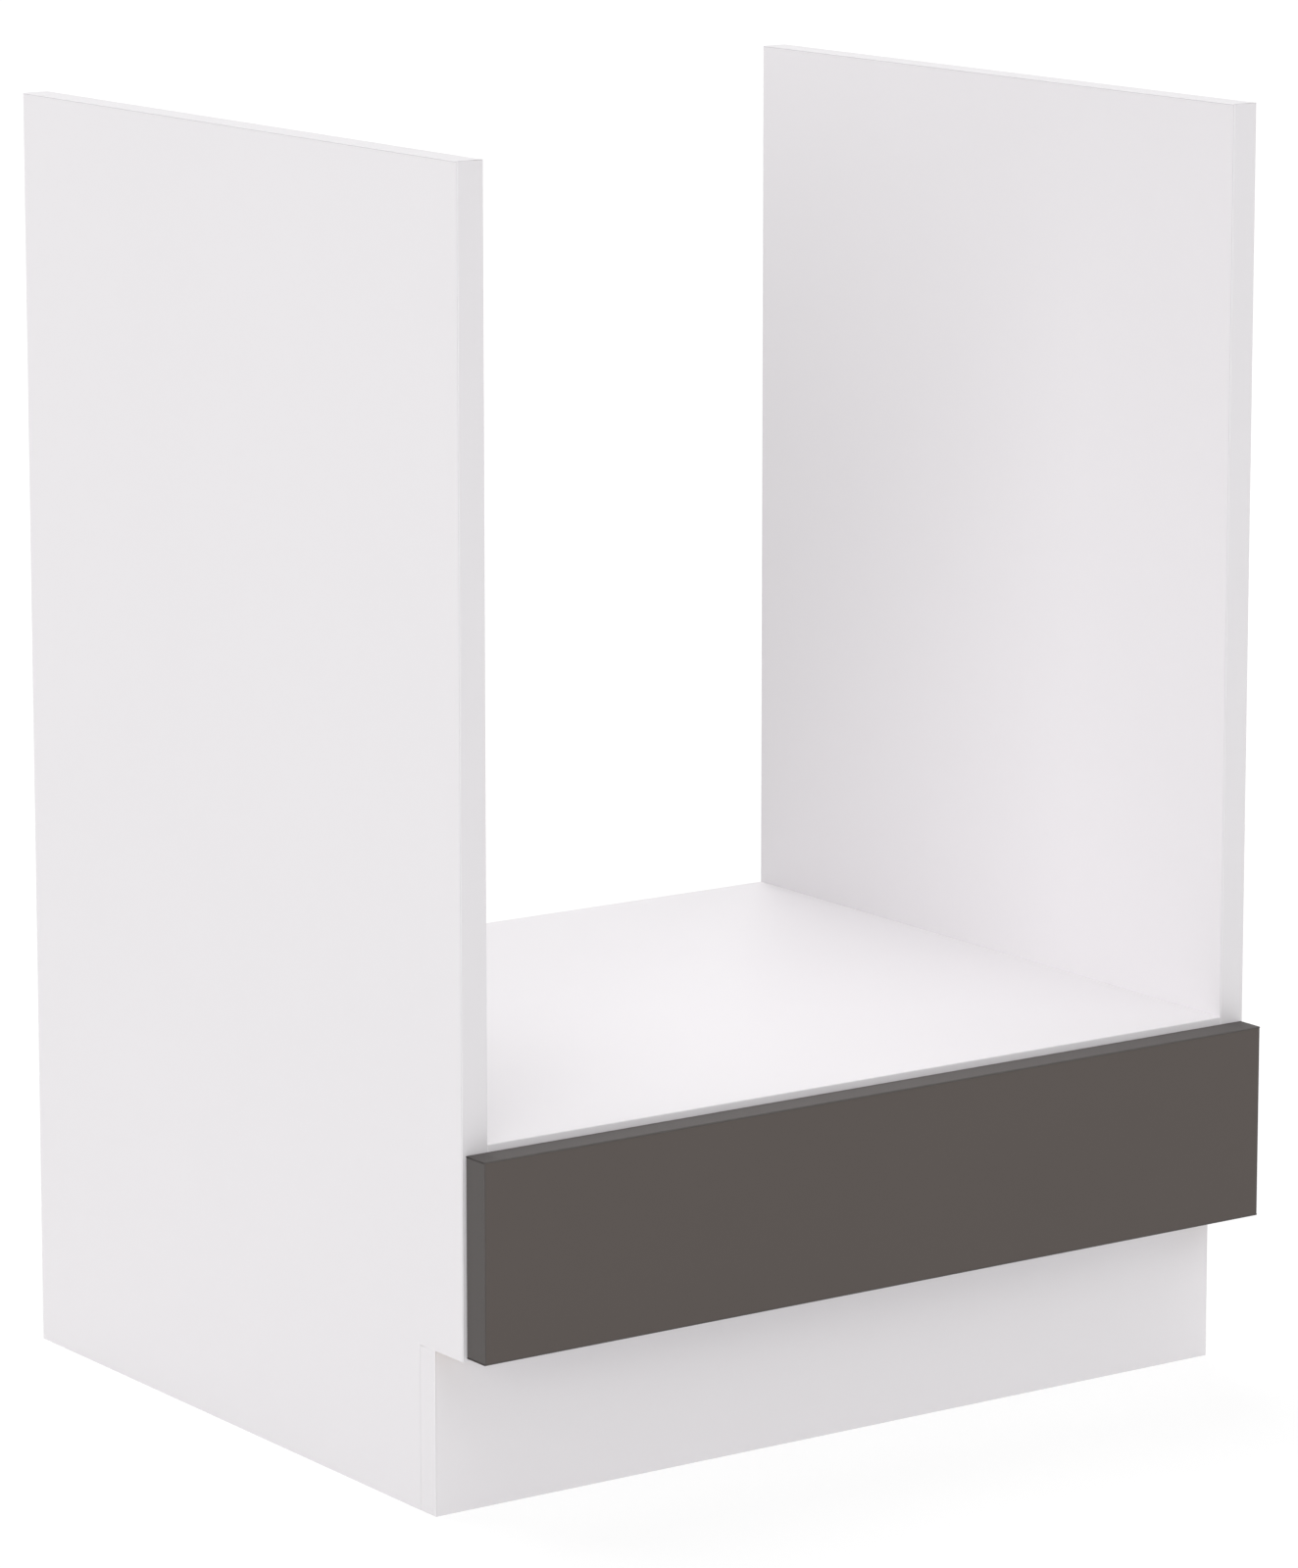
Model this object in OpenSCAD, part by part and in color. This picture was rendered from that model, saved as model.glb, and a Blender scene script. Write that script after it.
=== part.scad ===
// Kitchen base cabinet for a built-under oven: two side panels carry an oven shelf, and a shallow
// drawer runs below it on telescopic ball runners.
// Millimetres. The origin is on the floor, at the centre of the overall box. +Z is up and the
// drawer front faces -Y. Left and right are as seen from the front, so left is -X.

/* [Carcass] */
// Width over the outer faces of the side panels
cabinet_w = 600; // [450:10:900]
// Depth of the side panels, without the drawer front
carcass_d = 500; // [480:5:600]
// Height from the floor to the top edges
cabinet_h = 820; // [600:10:900]
// Thickness of the carcass boards
board_t = 18; // [16:0.5:22]
// Clear height of the drawer bay
bay_h = 94.8; // [85:0.1:200]
// Thickness of the edging strips
edging_t = 0.8; // [0.4:0.1:2]

/* [Back panel] */
// Thickness of the thin back panel
back_t = 3; // [2.5:0.5:5]
// Distance of the back panel from the back edges
back_inset = 18; // [12:1:24]
// Depth of the grooves that hold thin panels
groove_depth = 6; // [4:0.5:7]

/* [Plinth] */
// Height of the plinth and of the toe notch
toe_h = 103.5; // [80:0.5:160]
// Distance of the plinth's face behind the carcass front
toe_setback = 31; // [20:1:60]
// Thickness of the plinth board
plinth_t = 16; // [12:1:19]
// Distance of the plinth's ends inside the outer faces
plinth_inset = 0; // [0:0.5:3]
// Leg length of the steel angles behind the plinth
bracket_leg = 28; // [22:1:40]
// Width of the steel angles
bracket_w = 16; // [12:1:20]
// Sheet thickness of the steel angles
bracket_t = 1.5; // [1:0.1:2.5]
// Outer bend radius of the steel angles
bracket_bend_r = 3; // [2.6:0.1:5]

/* [Panel joints] */
// Distance of the outer cam bolts from the front and back edges
bolt_edge = 60; // [45:1:90]
// Distance from a cam bolt to its dowel
dowel_pitch = 32; // [25:1:64]
// Dowel diameter
dowel_d = 8; // [6:1:8]
// Dowel length
dowel_l = 35; // [30:1:40]
// Chamfer at the dowel ends
dowel_chamfer = 1; // [0.5:0.1:1.5]
// Depth of a dowel in the side panel
dowel_seat = 12; // [8:0.5:13]
// Diameter of the cam locks
cam_d = 15; // [14:0.5:16]
// Height of the cam locks
cam_h = 12.5; // [12:0.1:13.5]
// Distance of the cam's centre from the board's end
cam_inset = 34; // [30:1:40]
// Diameter of the cam bolt's shank
bolt_d = 7; // [6:0.5:7]
// Diameter of the cam bolt's threaded end
bolt_thread_d = 5; // [4:0.5:6]
// Length of the cam bolt's threaded end
bolt_thread_l = 11; // [8:0.5:12]

/* [Drawer front] */
// Thickness of the drawer front
front_t = 19; // [16:0.5:22]
// Gap between the carcass and the drawer front, which the bumpers fill
front_gap = 1; // [0.5:0.1:3]
// Distance of the front's ends inside the outer faces
front_reveal = 2; // [1:0.5:4]
// Height of the bottom board's edge that shows below the front
front_bottom_gap = 2.1; // [1:0.1:6]
// Height of the shelf's edge that shows above the front
front_top_gap = 4.2; // [2:0.1:6]
// Thickness of the strips on the edges of the front
front_edging_t = 1; // [0.4:0.1:2]

/* [Drawer box] */
// Thickness of the box boards
box_t = 16; // [15:0.5:19]
// Clearance below the box
box_under = 10; // [8:0.5:14]
// Clearance above the box
box_over = 9.8; // [8:0.1:14]
// Thickness of the box's bottom panel
box_floor_t = 3; // [2.5:0.5:4]
// Height of the box's bottom panel above the lower edge
box_floor_lift = 10; // [8:0.5:12]

/* [Runners] */
// Clearance between the back ends of the runners and the back panel
runner_back_gap = 27; // [4:1:180]
// Height of the cabinet member
runner_h = 45.5; // [44:0.1:46]
// Thickness of a closed runner
runner_t = 12.7; // [12.5:0.1:13.5]
// Steel sheet thickness
sheet_t = 1.2; // [1:0.05:1.3]
// Radius of the balls between cabinet member and middle member
outer_ball_r = 2; // [1.8:0.05:2.1]
// Radius of the balls between middle member and drawer member
inner_ball_r = 1.75; // [1.6:0.05:1.8]
// Play between a ball and its raceways
ball_play = 0.15; // [0.1:0.01:0.2]
// Distance from ball to ball
ball_pitch = 36; // [15:1:40]
// Strip thickness of the ball cages
cage_t = 0.5; // [0.4:0.05:0.6]
// Length of the windows in the ball cages
cage_window_l = 44; // [20:1:50]
// Middle line radius of the tight folds
fold_r = 1; // [0.8:0.05:1.2]
// Distance of the cabinet member behind the carcass front
runner_setback = 2; // [2:0.5:6]
// Length of the end stop behind the moving members
stop_l = 8; // [6:0.5:12]

/* [Screws] */
// Shank diameter of the runner and bracket screws
screw_d = 3.5; // [3:0.1:4]
// Head diameter of the runner and bracket screws
screw_head_d = 6.4; // [5.5:0.1:7]
// Length of the runner and bracket screws
screw_l = 12; // [10:0.5:13]
// Shank diameter of the box and front screws
box_screw_d = 4.5; // [4:0.1:5]
// Head diameter of the box and front screws
box_screw_head_d = 8; // [7:0.1:9]
// Length of the screws at the box corners
box_screw_l = 45; // [38:1:50]
// Length of the screws that hold the drawer front
front_screw_l = 30; // [22:1:31]

/* [Hidden] */
$fn = 48;
eps = 0.1;
// clearances
hole_play = 0.05;
groove_play = 0.1;
end_play = 0.5;
// carcass planes
overall_d = carcass_d + front_gap + front_t;
y_face = -overall_d / 2;
y_front = y_face + front_t + front_gap;
y_back = overall_d / 2;
x_out = cabinet_w / 2;
x_in = x_out - board_t;
z_bottom = toe_h;
z_bay = z_bottom + board_t;
z_shelf = z_bay + bay_h;
z_shelf_top = z_shelf + board_t;
y_plinth = y_front + toe_setback;
y_plinth_back = y_plinth + plinth_t;
y_back_panel = y_back - back_inset - back_t;
// panel joints
bolt_ys = [y_front + bolt_edge, y_back - bolt_edge];
dowel_ys = [y_front + bolt_edge + dowel_pitch, y_back - bolt_edge - dowel_pitch];
joint_zs = [z_bottom + board_t / 2, z_shelf + board_t / 2];
bolt_head_d = 6;
bolt_head_l = 3;
bolt_neck_d = 3.6;
bolt_play = 0.3;
cam_play = 0.2;
cam_slot = [7, 1.4, 1.6];
// plinth angles
bracket_edge = 12;
bracket_zs = [bracket_edge, toe_h - bracket_edge - bracket_w];
bracket_hole = bracket_leg - 10;
// drawer front and bumpers
front_w = cabinet_w - 2 * front_reveal;
z_front = z_bottom + front_bottom_gap;
front_h = z_shelf_top - front_top_gap - z_front;
bumper_d = 8;
bumper_edge = 14;
// runner length, which is also the drawer's full travel
y_runner = y_front + runner_setback;
runner_l = y_back_panel - runner_back_gap - y_runner;
// drawer box, from the front's back plane
y_box = y_face + front_t;
box_l = runner_l;
box_x = x_in - runner_t;
box_z = z_bay + box_under;
box_h = bay_h - box_under - box_over;
box_inner_x = box_x - box_t;
box_floor_z = box_z + box_floor_lift;
box_floor_top = box_floor_z + box_floor_t;
box_board_h = box_h - edging_t;
box_screw_edge = 6.5;
box_screw_zs = [box_floor_top + box_screw_edge, box_z + box_h - box_screw_edge];
front_screw_x = 170;
front_screw_edge = 12;
front_screw_zs = [box_floor_top + front_screw_edge, box_z + box_h - front_screw_edge];
// runner section: u runs from the cabinet wall towards the drawer, v up from the runner's middle
runner_z = box_z + box_h / 2;
stop_gap = 2;
member_l = runner_l - stop_l - stop_gap;
web_gap = 1.6;
rise_a = 30;
lip_a = 25;
horn_a = 30;
half_t = sheet_t / 2;
r1 = outer_ball_r + ball_play + half_t;
r2 = inner_ball_r + ball_play + half_t;
mid_web_u = sheet_t + web_gap + half_t;
drawer_web_u = runner_t - half_t;
ball1_u = mid_web_u + fold_r + (r1 + fold_r) * cos(45);
ball1_v = runner_h / 2 - half_t - r1;
ball2_u = drawer_web_u - fold_r - (r2 + fold_r) * cos(45);
ball2_v = ball1_v - sqrt(pow(r1 + r2, 2) - pow(ball2_u - ball1_u, 2));
ball1 = [ball1_u, ball1_v];
ball2 = [ball2_u, ball2_v];
wave_a = atan2(ball2_v - ball1_v, ball2_u - ball1_u);
bend_step = 12;
// ball cages, centred where the members overlap when the drawer is fully out
cage_end_play = 7.5;
cage_l = member_l - runner_l / 2 - 2 * cage_end_play;
y_cage = y_runner + (member_l - cage_l) / 2;
cage_margin = 10;
ball_n = floor((cage_l - 2 * cage_margin) / ball_pitch) + 1;
ball_ys = [for (i = [0:ball_n - 1]) y_runner + member_l / 2 + (i - (ball_n - 1) / 2) * ball_pitch];
cage1_u = sheet_t + (web_gap - cage_t) / 2;
cage2_u = mid_web_u + half_t + cage_t;
cage_rim = 0.6;
cage_window_w = 14;
// lanced tab at the front end of a web, which stops the cage
tab_w = 8;
tab_inset = 1.5;
// screw holes of the fixed members, and the access slots between them
runner_screw_edge = 35;
runner_screw_ys = [for (share = [0, 0.5, 1])
    y_runner + runner_screw_edge + share * (member_l - 2 * runner_screw_edge)];
slot_ys = [for (i = [0:1]) (runner_screw_ys[i] + runner_screw_ys[i + 1]) / 2];
slot_w = 5;
slot_l = 16;
access_d = 12;

white = [0.9, 0.89, 0.9];
raw_board = [0.72, 0.58, 0.42];
hardboard = [0.86, 0.84, 0.8];
dark_front = [0.36, 0.34, 0.32];
zinc = [0.72, 0.74, 0.77];
black = [0.1, 0.1, 0.1];
clear = [0.85, 0.88, 0.88];

// helpers

function ray(r, a) = [r * cos(a), r * sin(a)];

// draws its children on the left and their mirror image on the right
module both_sides() {
    children();
    mirror([1, 0, 0]) children();
}

// countersunk screw along +Z with the head's top at the origin; play widens it into its hole
module screw(d, head_d, l, play = 0) {
    cone_h = (head_d - d) / 2;
    cylinder(h = cone_h, d1 = head_d + 2 * play, d2 = d + 2 * play);
    cylinder(h = l + 10 * play, d = d + 2 * play);
    if (play > 0)
        translate([0, 0, -eps]) cylinder(h = eps, d = head_d + 2 * play);
}

// bar with a flat outline drawn in X and Z, swept along +Y from y for a length l
module sweep_y(y, l) {
    translate([0, y + l, 0]) rotate([90, 0, 0]) linear_extrude(l) children();
}

// side panels and their joints, drawn for the left side

module left_wall_holes(play) {
    for (z = joint_zs) {
        for (y = bolt_ys)
            translate([-x_in, y, z]) rotate([0, -90, 0])
                cylinder(h = bolt_thread_l + 1, d = bolt_thread_d + 2 * play);
        for (y = dowel_ys)
            translate([-x_in, y, z]) rotate([0, -90, 0])
                cylinder(h = dowel_seat + 1, d = dowel_d + 2 * play);
    }
}

module side_panel() {
    color(white) difference() {
        translate([-x_out, y_front + edging_t, 0])
            cube([board_t, carcass_d - edging_t, cabinet_h - edging_t]);
        translate([-x_out - eps, y_front - eps, -eps])
            cube([board_t + 2 * eps, y_plinth_back - y_front + eps, toe_h + eps]);
        left_wall_holes(hole_play);
        left_cabinet_screws(hole_play);
        for (z = bracket_zs) translate([0, 0, z]) left_bracket_wall_screw(hole_play);
    }
}

module side_edging() {
    color(white) translate([-x_out, y_front, toe_h]) cube([board_t, edging_t, cabinet_h - toe_h]);
}

module top_edging() {
    color(white) both_sides() translate([-x_out, y_front + edging_t, cabinet_h - edging_t])
        cube([board_t, carcass_d - edging_t, edging_t]);
}

// boards between the sides

// holes in the left end of a board whose underside is at z
module left_board_end_holes(z) {
    z_mid = z + board_t / 2;
    for (y = bolt_ys) {
        translate([-x_in - eps, y, z_mid]) rotate([0, 90, 0])
            cylinder(h = cam_inset + eps, d = bolt_d + 1);
        translate([-x_in + cam_inset, y, z - eps])
            cylinder(h = cam_h + cam_play + eps, d = cam_d + 2 * hole_play);
    }
    for (y = dowel_ys)
        translate([-x_in - eps, y, z_mid]) rotate([0, 90, 0])
            cylinder(h = dowel_l - dowel_seat + 1 + eps, d = dowel_d + 2 * hole_play);
}

// groove for the back panel, from height z up or down by the groove's depth
module back_groove(z) {
    translate([-x_in - eps, y_back_panel - groove_play, z])
        cube([2 * x_in + 2 * eps, back_t + 2 * groove_play, groove_depth + eps]);
}

module jointed_board(z) {
    difference() {
        translate([-x_in, y_front + edging_t, z]) cube([2 * x_in, carcass_d - edging_t, board_t]);
        both_sides() left_board_end_holes(z);
    }
}

module board_edging(z) {
    translate([-x_in, y_front, z]) cube([2 * x_in, edging_t, board_t]);
}

module oven_shelf() {
    color(white) difference() {
        jointed_board(z_shelf);
        back_groove(z_shelf - eps);
    }
}

module bottom_board() {
    color(white) difference() {
        jointed_board(z_bottom);
        back_groove(z_bay - groove_depth);
    }
}

module shelf_edging() {
    color(white) board_edging(z_shelf);
}

module bottom_edging() {
    color(white) board_edging(z_bottom);
}

module back_panel() {
    reach = groove_depth - end_play;
    color(hardboard) translate([-x_in + end_play, y_back_panel, z_bay - reach])
        cube([2 * (x_in - end_play), back_t, bay_h + 2 * reach]);
}

// joint hardware

module left_cam_lock(y, z) {
    z_mid = board_t / 2;
    translate([-x_in + cam_inset, y, z]) difference() {
        cylinder(h = cam_h, d = cam_d);
        translate([-bolt_head_l, 0, z_mid]) rotate([0, 90, 0])
            cylinder(h = 2 * bolt_head_l, d = bolt_head_d + 2 * bolt_play);
        translate([-cam_d, 0, z_mid]) rotate([0, 90, 0])
            cylinder(h = cam_d, d = bolt_neck_d + 2 * bolt_play);
        for (a = [0, 90]) rotate(a)
            translate([-cam_slot[0] / 2, -cam_slot[1] / 2, -eps]) cube(cam_slot + [0, 0, eps]);
    }
}

module cam_locks() {
    color(zinc) both_sides()
        for (z = [z_bottom, z_shelf], y = bolt_ys) left_cam_lock(y, z);
}

module left_cam_bolt() {
    head_u = cam_inset + bolt_head_l / 2;
    shank_l = cam_inset - cam_d / 2 - 0.5;
    rotate([0, -90, 0]) cylinder(h = bolt_thread_l, d = bolt_thread_d);
    rotate([0, 90, 0]) {
        cylinder(h = shank_l, d = bolt_d);
        cylinder(h = head_u, d = bolt_neck_d);
        translate([0, 0, head_u - bolt_head_l]) cylinder(h = bolt_head_l, d = bolt_head_d);
    }
}

module cam_bolts() {
    color(zinc) both_sides()
        for (z = joint_zs, y = bolt_ys) translate([-x_in, y, z]) left_cam_bolt();
}

// dowel along +Z with chamfered ends
module dowel() {
    c = dowel_chamfer;
    cylinder(h = c, d1 = dowel_d - 2 * c, d2 = dowel_d);
    translate([0, 0, c]) cylinder(h = dowel_l - 2 * c, d = dowel_d);
    translate([0, 0, dowel_l - c]) cylinder(h = c, d1 = dowel_d, d2 = dowel_d - 2 * c);
}

module carcass_dowels() {
    color(raw_board) both_sides()
        for (z = joint_zs, y = dowel_ys)
            translate([-x_in - dowel_seat, y, z]) rotate([0, 90, 0]) dowel();
}

// plinth

module left_bracket_wall_screw(play = 0) {
    translate([-x_in + bracket_t, y_plinth_back + bracket_hole, bracket_w / 2])
        rotate([0, -90, 0]) screw(screw_d, screw_head_d, screw_l, play);
}

module left_bracket_plinth_screw(play = 0) {
    translate([-x_in + bracket_hole, y_plinth_back + bracket_t, bracket_w / 2])
        rotate([90, 0, 0]) screw(screw_d, screw_head_d, screw_l, play);
}

// square with its corner at the origin rounded
module rounded_corner(side, r) {
    translate([r, 0]) square([side - r, side]);
    translate([0, r]) square([side, side - r]);
    translate([r, r]) circle(r);
}

module left_bracket() {
    difference() {
        translate([-x_in, y_plinth_back, 0]) linear_extrude(bracket_w) difference() {
            rounded_corner(bracket_leg, bracket_bend_r);
            translate([bracket_t, bracket_t])
                rounded_corner(bracket_leg, bracket_bend_r - bracket_t);
        }
        left_bracket_wall_screw(hole_play);
        left_bracket_plinth_screw(hole_play);
    }
}

module plinth_board() {
    x_end = x_out - plinth_inset - edging_t;
    color(white) difference() {
        translate([-x_end, y_plinth, 0]) cube([2 * x_end, plinth_t, toe_h]);
        both_sides() for (z = bracket_zs) translate([0, 0, z]) left_bracket_plinth_screw(hole_play);
    }
}

module plinth_edging() {
    color(white) both_sides()
        translate([-x_out + plinth_inset, y_plinth, 0]) cube([edging_t, plinth_t, toe_h]);
}

module plinth_brackets() {
    color(zinc) both_sides() for (z = bracket_zs) translate([0, 0, z]) left_bracket();
}

module bracket_screws() {
    color(zinc) both_sides() for (z = bracket_zs) translate([0, 0, z]) {
        left_bracket_wall_screw();
        left_bracket_plinth_screw();
    }
}

// telescopic ball runner
// Each member is one bent sheet: a web, tight folds and raceway curves about the ball centres.
// The outlines show the upper half of the left runner, and are mirrored for the lower half.

// points along one side of a bend [centre, middle line radius, start angle, end angle]
function bend_points(b, side) =
    let (turn = b[3] - b[2], n = ceil(abs(turn) / bend_step))
    [for (i = [0:n]) b[0] + ray(b[1] - sign(turn) * side, b[2] + turn * i / n)];

function reversed(list) = [for (i = [len(list) - 1:-1:0]) list[i]];

// one side of the sheet, without the points that two touching bends share
function sheet_side(bends, side) =
    let (all = [for (b = bends) each bend_points(b, side)])
    [for (i = [0:len(all) - 1]) if (i == 0 || norm(all[i] - all[i - 1]) > 0.001) all[i]];

function flipped(points) = [for (p = points) [p[0], -p[1]]];

// outline of a member whose sheet runs up its web and then follows the bends, above and below
module member(bends) {
    left = sheet_side(bends, half_t);
    right = sheet_side(bends, -half_t);
    polygon(concat(reversed(flipped(left)), left, reversed(right), flipped(right)));
}

// the web turns over at its top, and the flange rises over the outer balls to a curled lip
module cabinet_member_outline() {
    corner_r = half_t + fold_r / 2;
    rise = ball1 + ray(r1 + fold_r, 90 + rise_a);
    corner = [half_t + corner_r, rise[1] - fold_r - corner_r];
    member([
        [corner, corner_r, 180, 90],
        [rise, fold_r, -90, rise_a - 90],
        [ball1, r1, 90 + rise_a, lip_a]
    ]);
}

// the web folds over, dips under the outer balls and rises over the inner balls
module middle_member_outline() {
    member([
        [ball1 + ray(r1 + fold_r, 225), fold_r, 180, 45],
        [ball1, r1, 225, 360 + wave_a],
        [ball2, r2, 180 + wave_a, horn_a]
    ]);
}

// the web folds over and dips under the inner balls
module drawer_member_outline() {
    member([
        [ball2 + ray(r2 + fold_r, -45), fold_r, 0, 135],
        [ball2, r2, 315, 180 + lip_a]
    ]);
}

// U-shaped strip with its web at u and its tabs at the height of the ball centres
module cage_outline(u, ball, ball_r) {
    tab_l = ball[0] + ball_r + cage_rim - u;
    translate([u, -ball[1]]) square([cage_t, 2 * ball[1]]);
    for (s = [-1, 1]) translate([u, s * ball[1] - cage_t / 2]) square([tab_l, cage_t]);
}

// oval slot through a web, with its length along Y
module web_slot(w, l) {
    rotate([0, 90, 0]) {
        for (s = [-1, 1]) translate([0, s * (l - w) / 2, 0]) cylinder(h = 3 * sheet_t, d = w);
        translate([-w / 2, (w - l) / 2, 0]) cube([w, l - w, 3 * sheet_t]);
    }
}

module at_left_runner() {
    translate([-x_in, 0, runner_z]) children();
}

module left_cabinet_screws(play = 0) {
    at_left_runner() for (y = runner_screw_ys)
        translate([sheet_t, y, 0]) rotate([0, -90, 0])
            screw(screw_d, screw_head_d, screw_l, play);
}

module left_drawer_screws(play = 0) {
    at_left_runner() for (y = runner_screw_ys)
        translate([runner_t - sheet_t, y, 0]) rotate([0, 90, 0])
            screw(screw_d, screw_head_d, screw_l, play);
}

// tab bent out of a web, from the sheet's middle at u to the far face of the cage at cage_u
module cage_stop(u, cage_u) {
    translate([u, y_runner + tab_inset, -tab_w / 2])
        cube([cage_u + cage_t - u, sheet_t, tab_w]);
}

module cabinet_runner() {
    color(zinc) difference() {
        at_left_runner() {
            sweep_y(y_runner, runner_l) cabinet_member_outline();
            cage_stop(half_t, cage1_u);
        }
        left_cabinet_screws(hole_play);
        at_left_runner() for (y = slot_ys) translate([-sheet_t, y, 0]) web_slot(slot_w, slot_l);
    }
}

module middle_runner() {
    color(zinc) at_left_runner() difference() {
        union() {
            sweep_y(y_runner, member_l) middle_member_outline();
            cage_stop(mid_web_u, cage2_u);
        }
        for (y = runner_screw_ys)
            translate([mid_web_u - sheet_t, y, 0]) web_slot(access_d, access_d + eps);
        for (y = slot_ys)
            translate([mid_web_u - sheet_t, y, 0]) web_slot(access_d, 2 * slot_l);
    }
}

module drawer_runner() {
    color(zinc) difference() {
        at_left_runner() sweep_y(y_runner, member_l) drawer_member_outline();
        left_drawer_screws(hole_play);
        at_left_runner() for (y = slot_ys)
            translate([drawer_web_u - sheet_t, y, 0]) web_slot(slot_w, slot_l);
    }
}

module cage(u, ball, ball_r) {
    color(zinc) at_left_runner() difference() {
        sweep_y(y_cage, cage_l) cage_outline(u, ball, ball_r);
        for (y = ball_ys, s = [-1, 1])
            translate([ball[0], y, s * ball[1]])
                cylinder(h = 2 * cage_t, r = ball_r + ball_play, center = true);
        for (s = [-1, 1])
            translate([u - sheet_t, y_runner + member_l / 2 + s * cage_l / 4, 0])
                web_slot(cage_window_w, cage_window_l);
    }
}

module balls(ball, ball_r) {
    color(zinc) at_left_runner() for (y = ball_ys, s = [-1, 1])
        translate([ball[0], y, s * ball[1]]) sphere(ball_r);
}

module cabinet_runner_screws() {
    color(zinc) both_sides() left_cabinet_screws();
}

module drawer_runner_screws() {
    color(zinc) both_sides() left_drawer_screws();
}

// plastic plug in the back end of each cabinet member, which stops the moving members
module runner_stops() {
    stop_v = ball2_v - r2;
    stop_u = ball1_u - sheet_t;
    color(black) both_sides() at_left_runner()
        translate([sheet_t, y_runner + runner_l - stop_l, 0]) difference() {
            translate([0, 0, -stop_v]) cube([stop_u, stop_l, 2 * stop_v]);
            for (s = [-1, 1]) translate([stop_u / 2, -eps, s * stop_v / 2])
                rotate([-90, 0, 0]) cylinder(h = stop_l + 2 * eps, r = stop_u / 4);
        }
}

module outer_ball_cages() {
    both_sides() cage(cage1_u, ball1, outer_ball_r);
}

module inner_ball_cages() {
    both_sides() cage(cage2_u, ball2, inner_ball_r);
}

module outer_balls() {
    both_sides() balls(ball1, outer_ball_r);
}

module inner_balls() {
    both_sides() balls(ball2, inner_ball_r);
}

// drawer front

module front_screw_set(play = 0) {
    both_sides() for (z = front_screw_zs)
        translate([-front_screw_x, y_box + box_t, z]) rotate([90, 0, 0])
            screw(box_screw_d, box_screw_head_d, front_screw_l, play);
}

module drawer_front() {
    board_w = front_w - 2 * front_edging_t;
    board_h = front_h - 2 * front_edging_t;
    color(dark_front) difference() {
        translate([-board_w / 2, y_face, z_front + front_edging_t])
            cube([board_w, front_t, board_h]);
        front_screw_set(hole_play);
    }
}

// strips on the ends of the front, between the long ones
module front_end_edging() {
    color(dark_front) both_sides()
        translate([-front_w / 2, y_face, z_front + front_edging_t])
            cube([front_edging_t, front_t, front_h - 2 * front_edging_t]);
}

// strips on the lower and upper edge of the front, over the ends of the others
module front_long_edging() {
    color(dark_front) for (z = [z_front, z_front + front_h - front_edging_t])
        translate([-front_w / 2, y_face, z]) cube([front_w, front_t, front_edging_t]);
}

module front_bumpers() {
    color(clear) both_sides() for (z = [z_front + bumper_edge, z_front + front_h - bumper_edge])
        translate([-x_in - board_t / 2, y_box, z]) rotate([-90, 0, 0])
            cylinder(h = front_gap, d = bumper_d);
}

module front_screws() {
    color(zinc) front_screw_set();
}

// drawer box

// bottom panel, grown by play on its faces to cut its grooves
module floor_sheet(play = 0) {
    reach = groove_depth - (play > 0 ? 0 : end_play);
    translate([-box_inner_x - reach, y_box + box_t - reach, box_floor_z - play])
        cube([2 * (box_inner_x + reach), box_l - 2 * box_t + 2 * reach, box_floor_t + 2 * play]);
}

module left_box_screws(play = 0) {
    for (y = [y_box + box_t / 2, y_box + box_l - box_t / 2], z = box_screw_zs)
        translate([-box_x, y, z]) rotate([0, 90, 0])
            screw(box_screw_d, box_screw_head_d, box_screw_l, play);
}

module box_side() {
    color(white) difference() {
        translate([-box_x, y_box, box_z]) cube([box_t, box_l, box_board_h]);
        floor_sheet(groove_play);
        left_box_screws(hole_play);
        left_drawer_screws(hole_play);
    }
}

module box_end(y) {
    color(white) difference() {
        translate([-box_inner_x, y, box_z]) cube([2 * box_inner_x, box_t, box_board_h]);
        floor_sheet(groove_play);
        both_sides() left_box_screws(hole_play);
        front_screw_set(hole_play);
    }
}

module box_front() {
    box_end(y_box);
}

module box_back() {
    box_end(y_box + box_l - box_t);
}

module box_side_edging() {
    color(white) both_sides()
        translate([-box_x, y_box, box_z + box_board_h]) cube([box_t, box_l, edging_t]);
}

module box_end_edging() {
    color(white) for (y = [y_box, y_box + box_l - box_t])
        translate([-box_inner_x, y, box_z + box_board_h]) cube([2 * box_inner_x, box_t, edging_t]);
}

module box_bottom() {
    color(hardboard) floor_sheet();
}

module box_screws() {
    color(zinc) both_sides() left_box_screws();
}

side_panel();  // side_panel_left
mirror([1, 0, 0]) side_panel();  // side_panel_right
side_edging();  // side_edging_left
mirror([1, 0, 0]) side_edging();  // side_edging_right
top_edging();
oven_shelf();
shelf_edging();
bottom_board();
bottom_edging();
back_panel();
plinth_board();
plinth_edging();
plinth_brackets();
bracket_screws();
cam_locks();
cam_bolts();
carcass_dowels();
cabinet_runner();  // cabinet_runner_left
mirror([1, 0, 0]) cabinet_runner();  // cabinet_runner_right
cabinet_runner_screws();
runner_stops();
middle_runner();  // middle_runner_left
mirror([1, 0, 0]) middle_runner();  // middle_runner_right
outer_ball_cages();
outer_balls();
inner_ball_cages();
inner_balls();
drawer_runner();  // drawer_runner_left
mirror([1, 0, 0]) drawer_runner();  // drawer_runner_right
drawer_runner_screws();
drawer_front();
front_end_edging();
front_long_edging();
front_bumpers();
front_screws();
box_side();  // box_side_left
mirror([1, 0, 0]) box_side();  // box_side_right
box_front();
box_back();
box_side_edging();
box_end_edging();
box_bottom();
box_screws();
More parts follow.
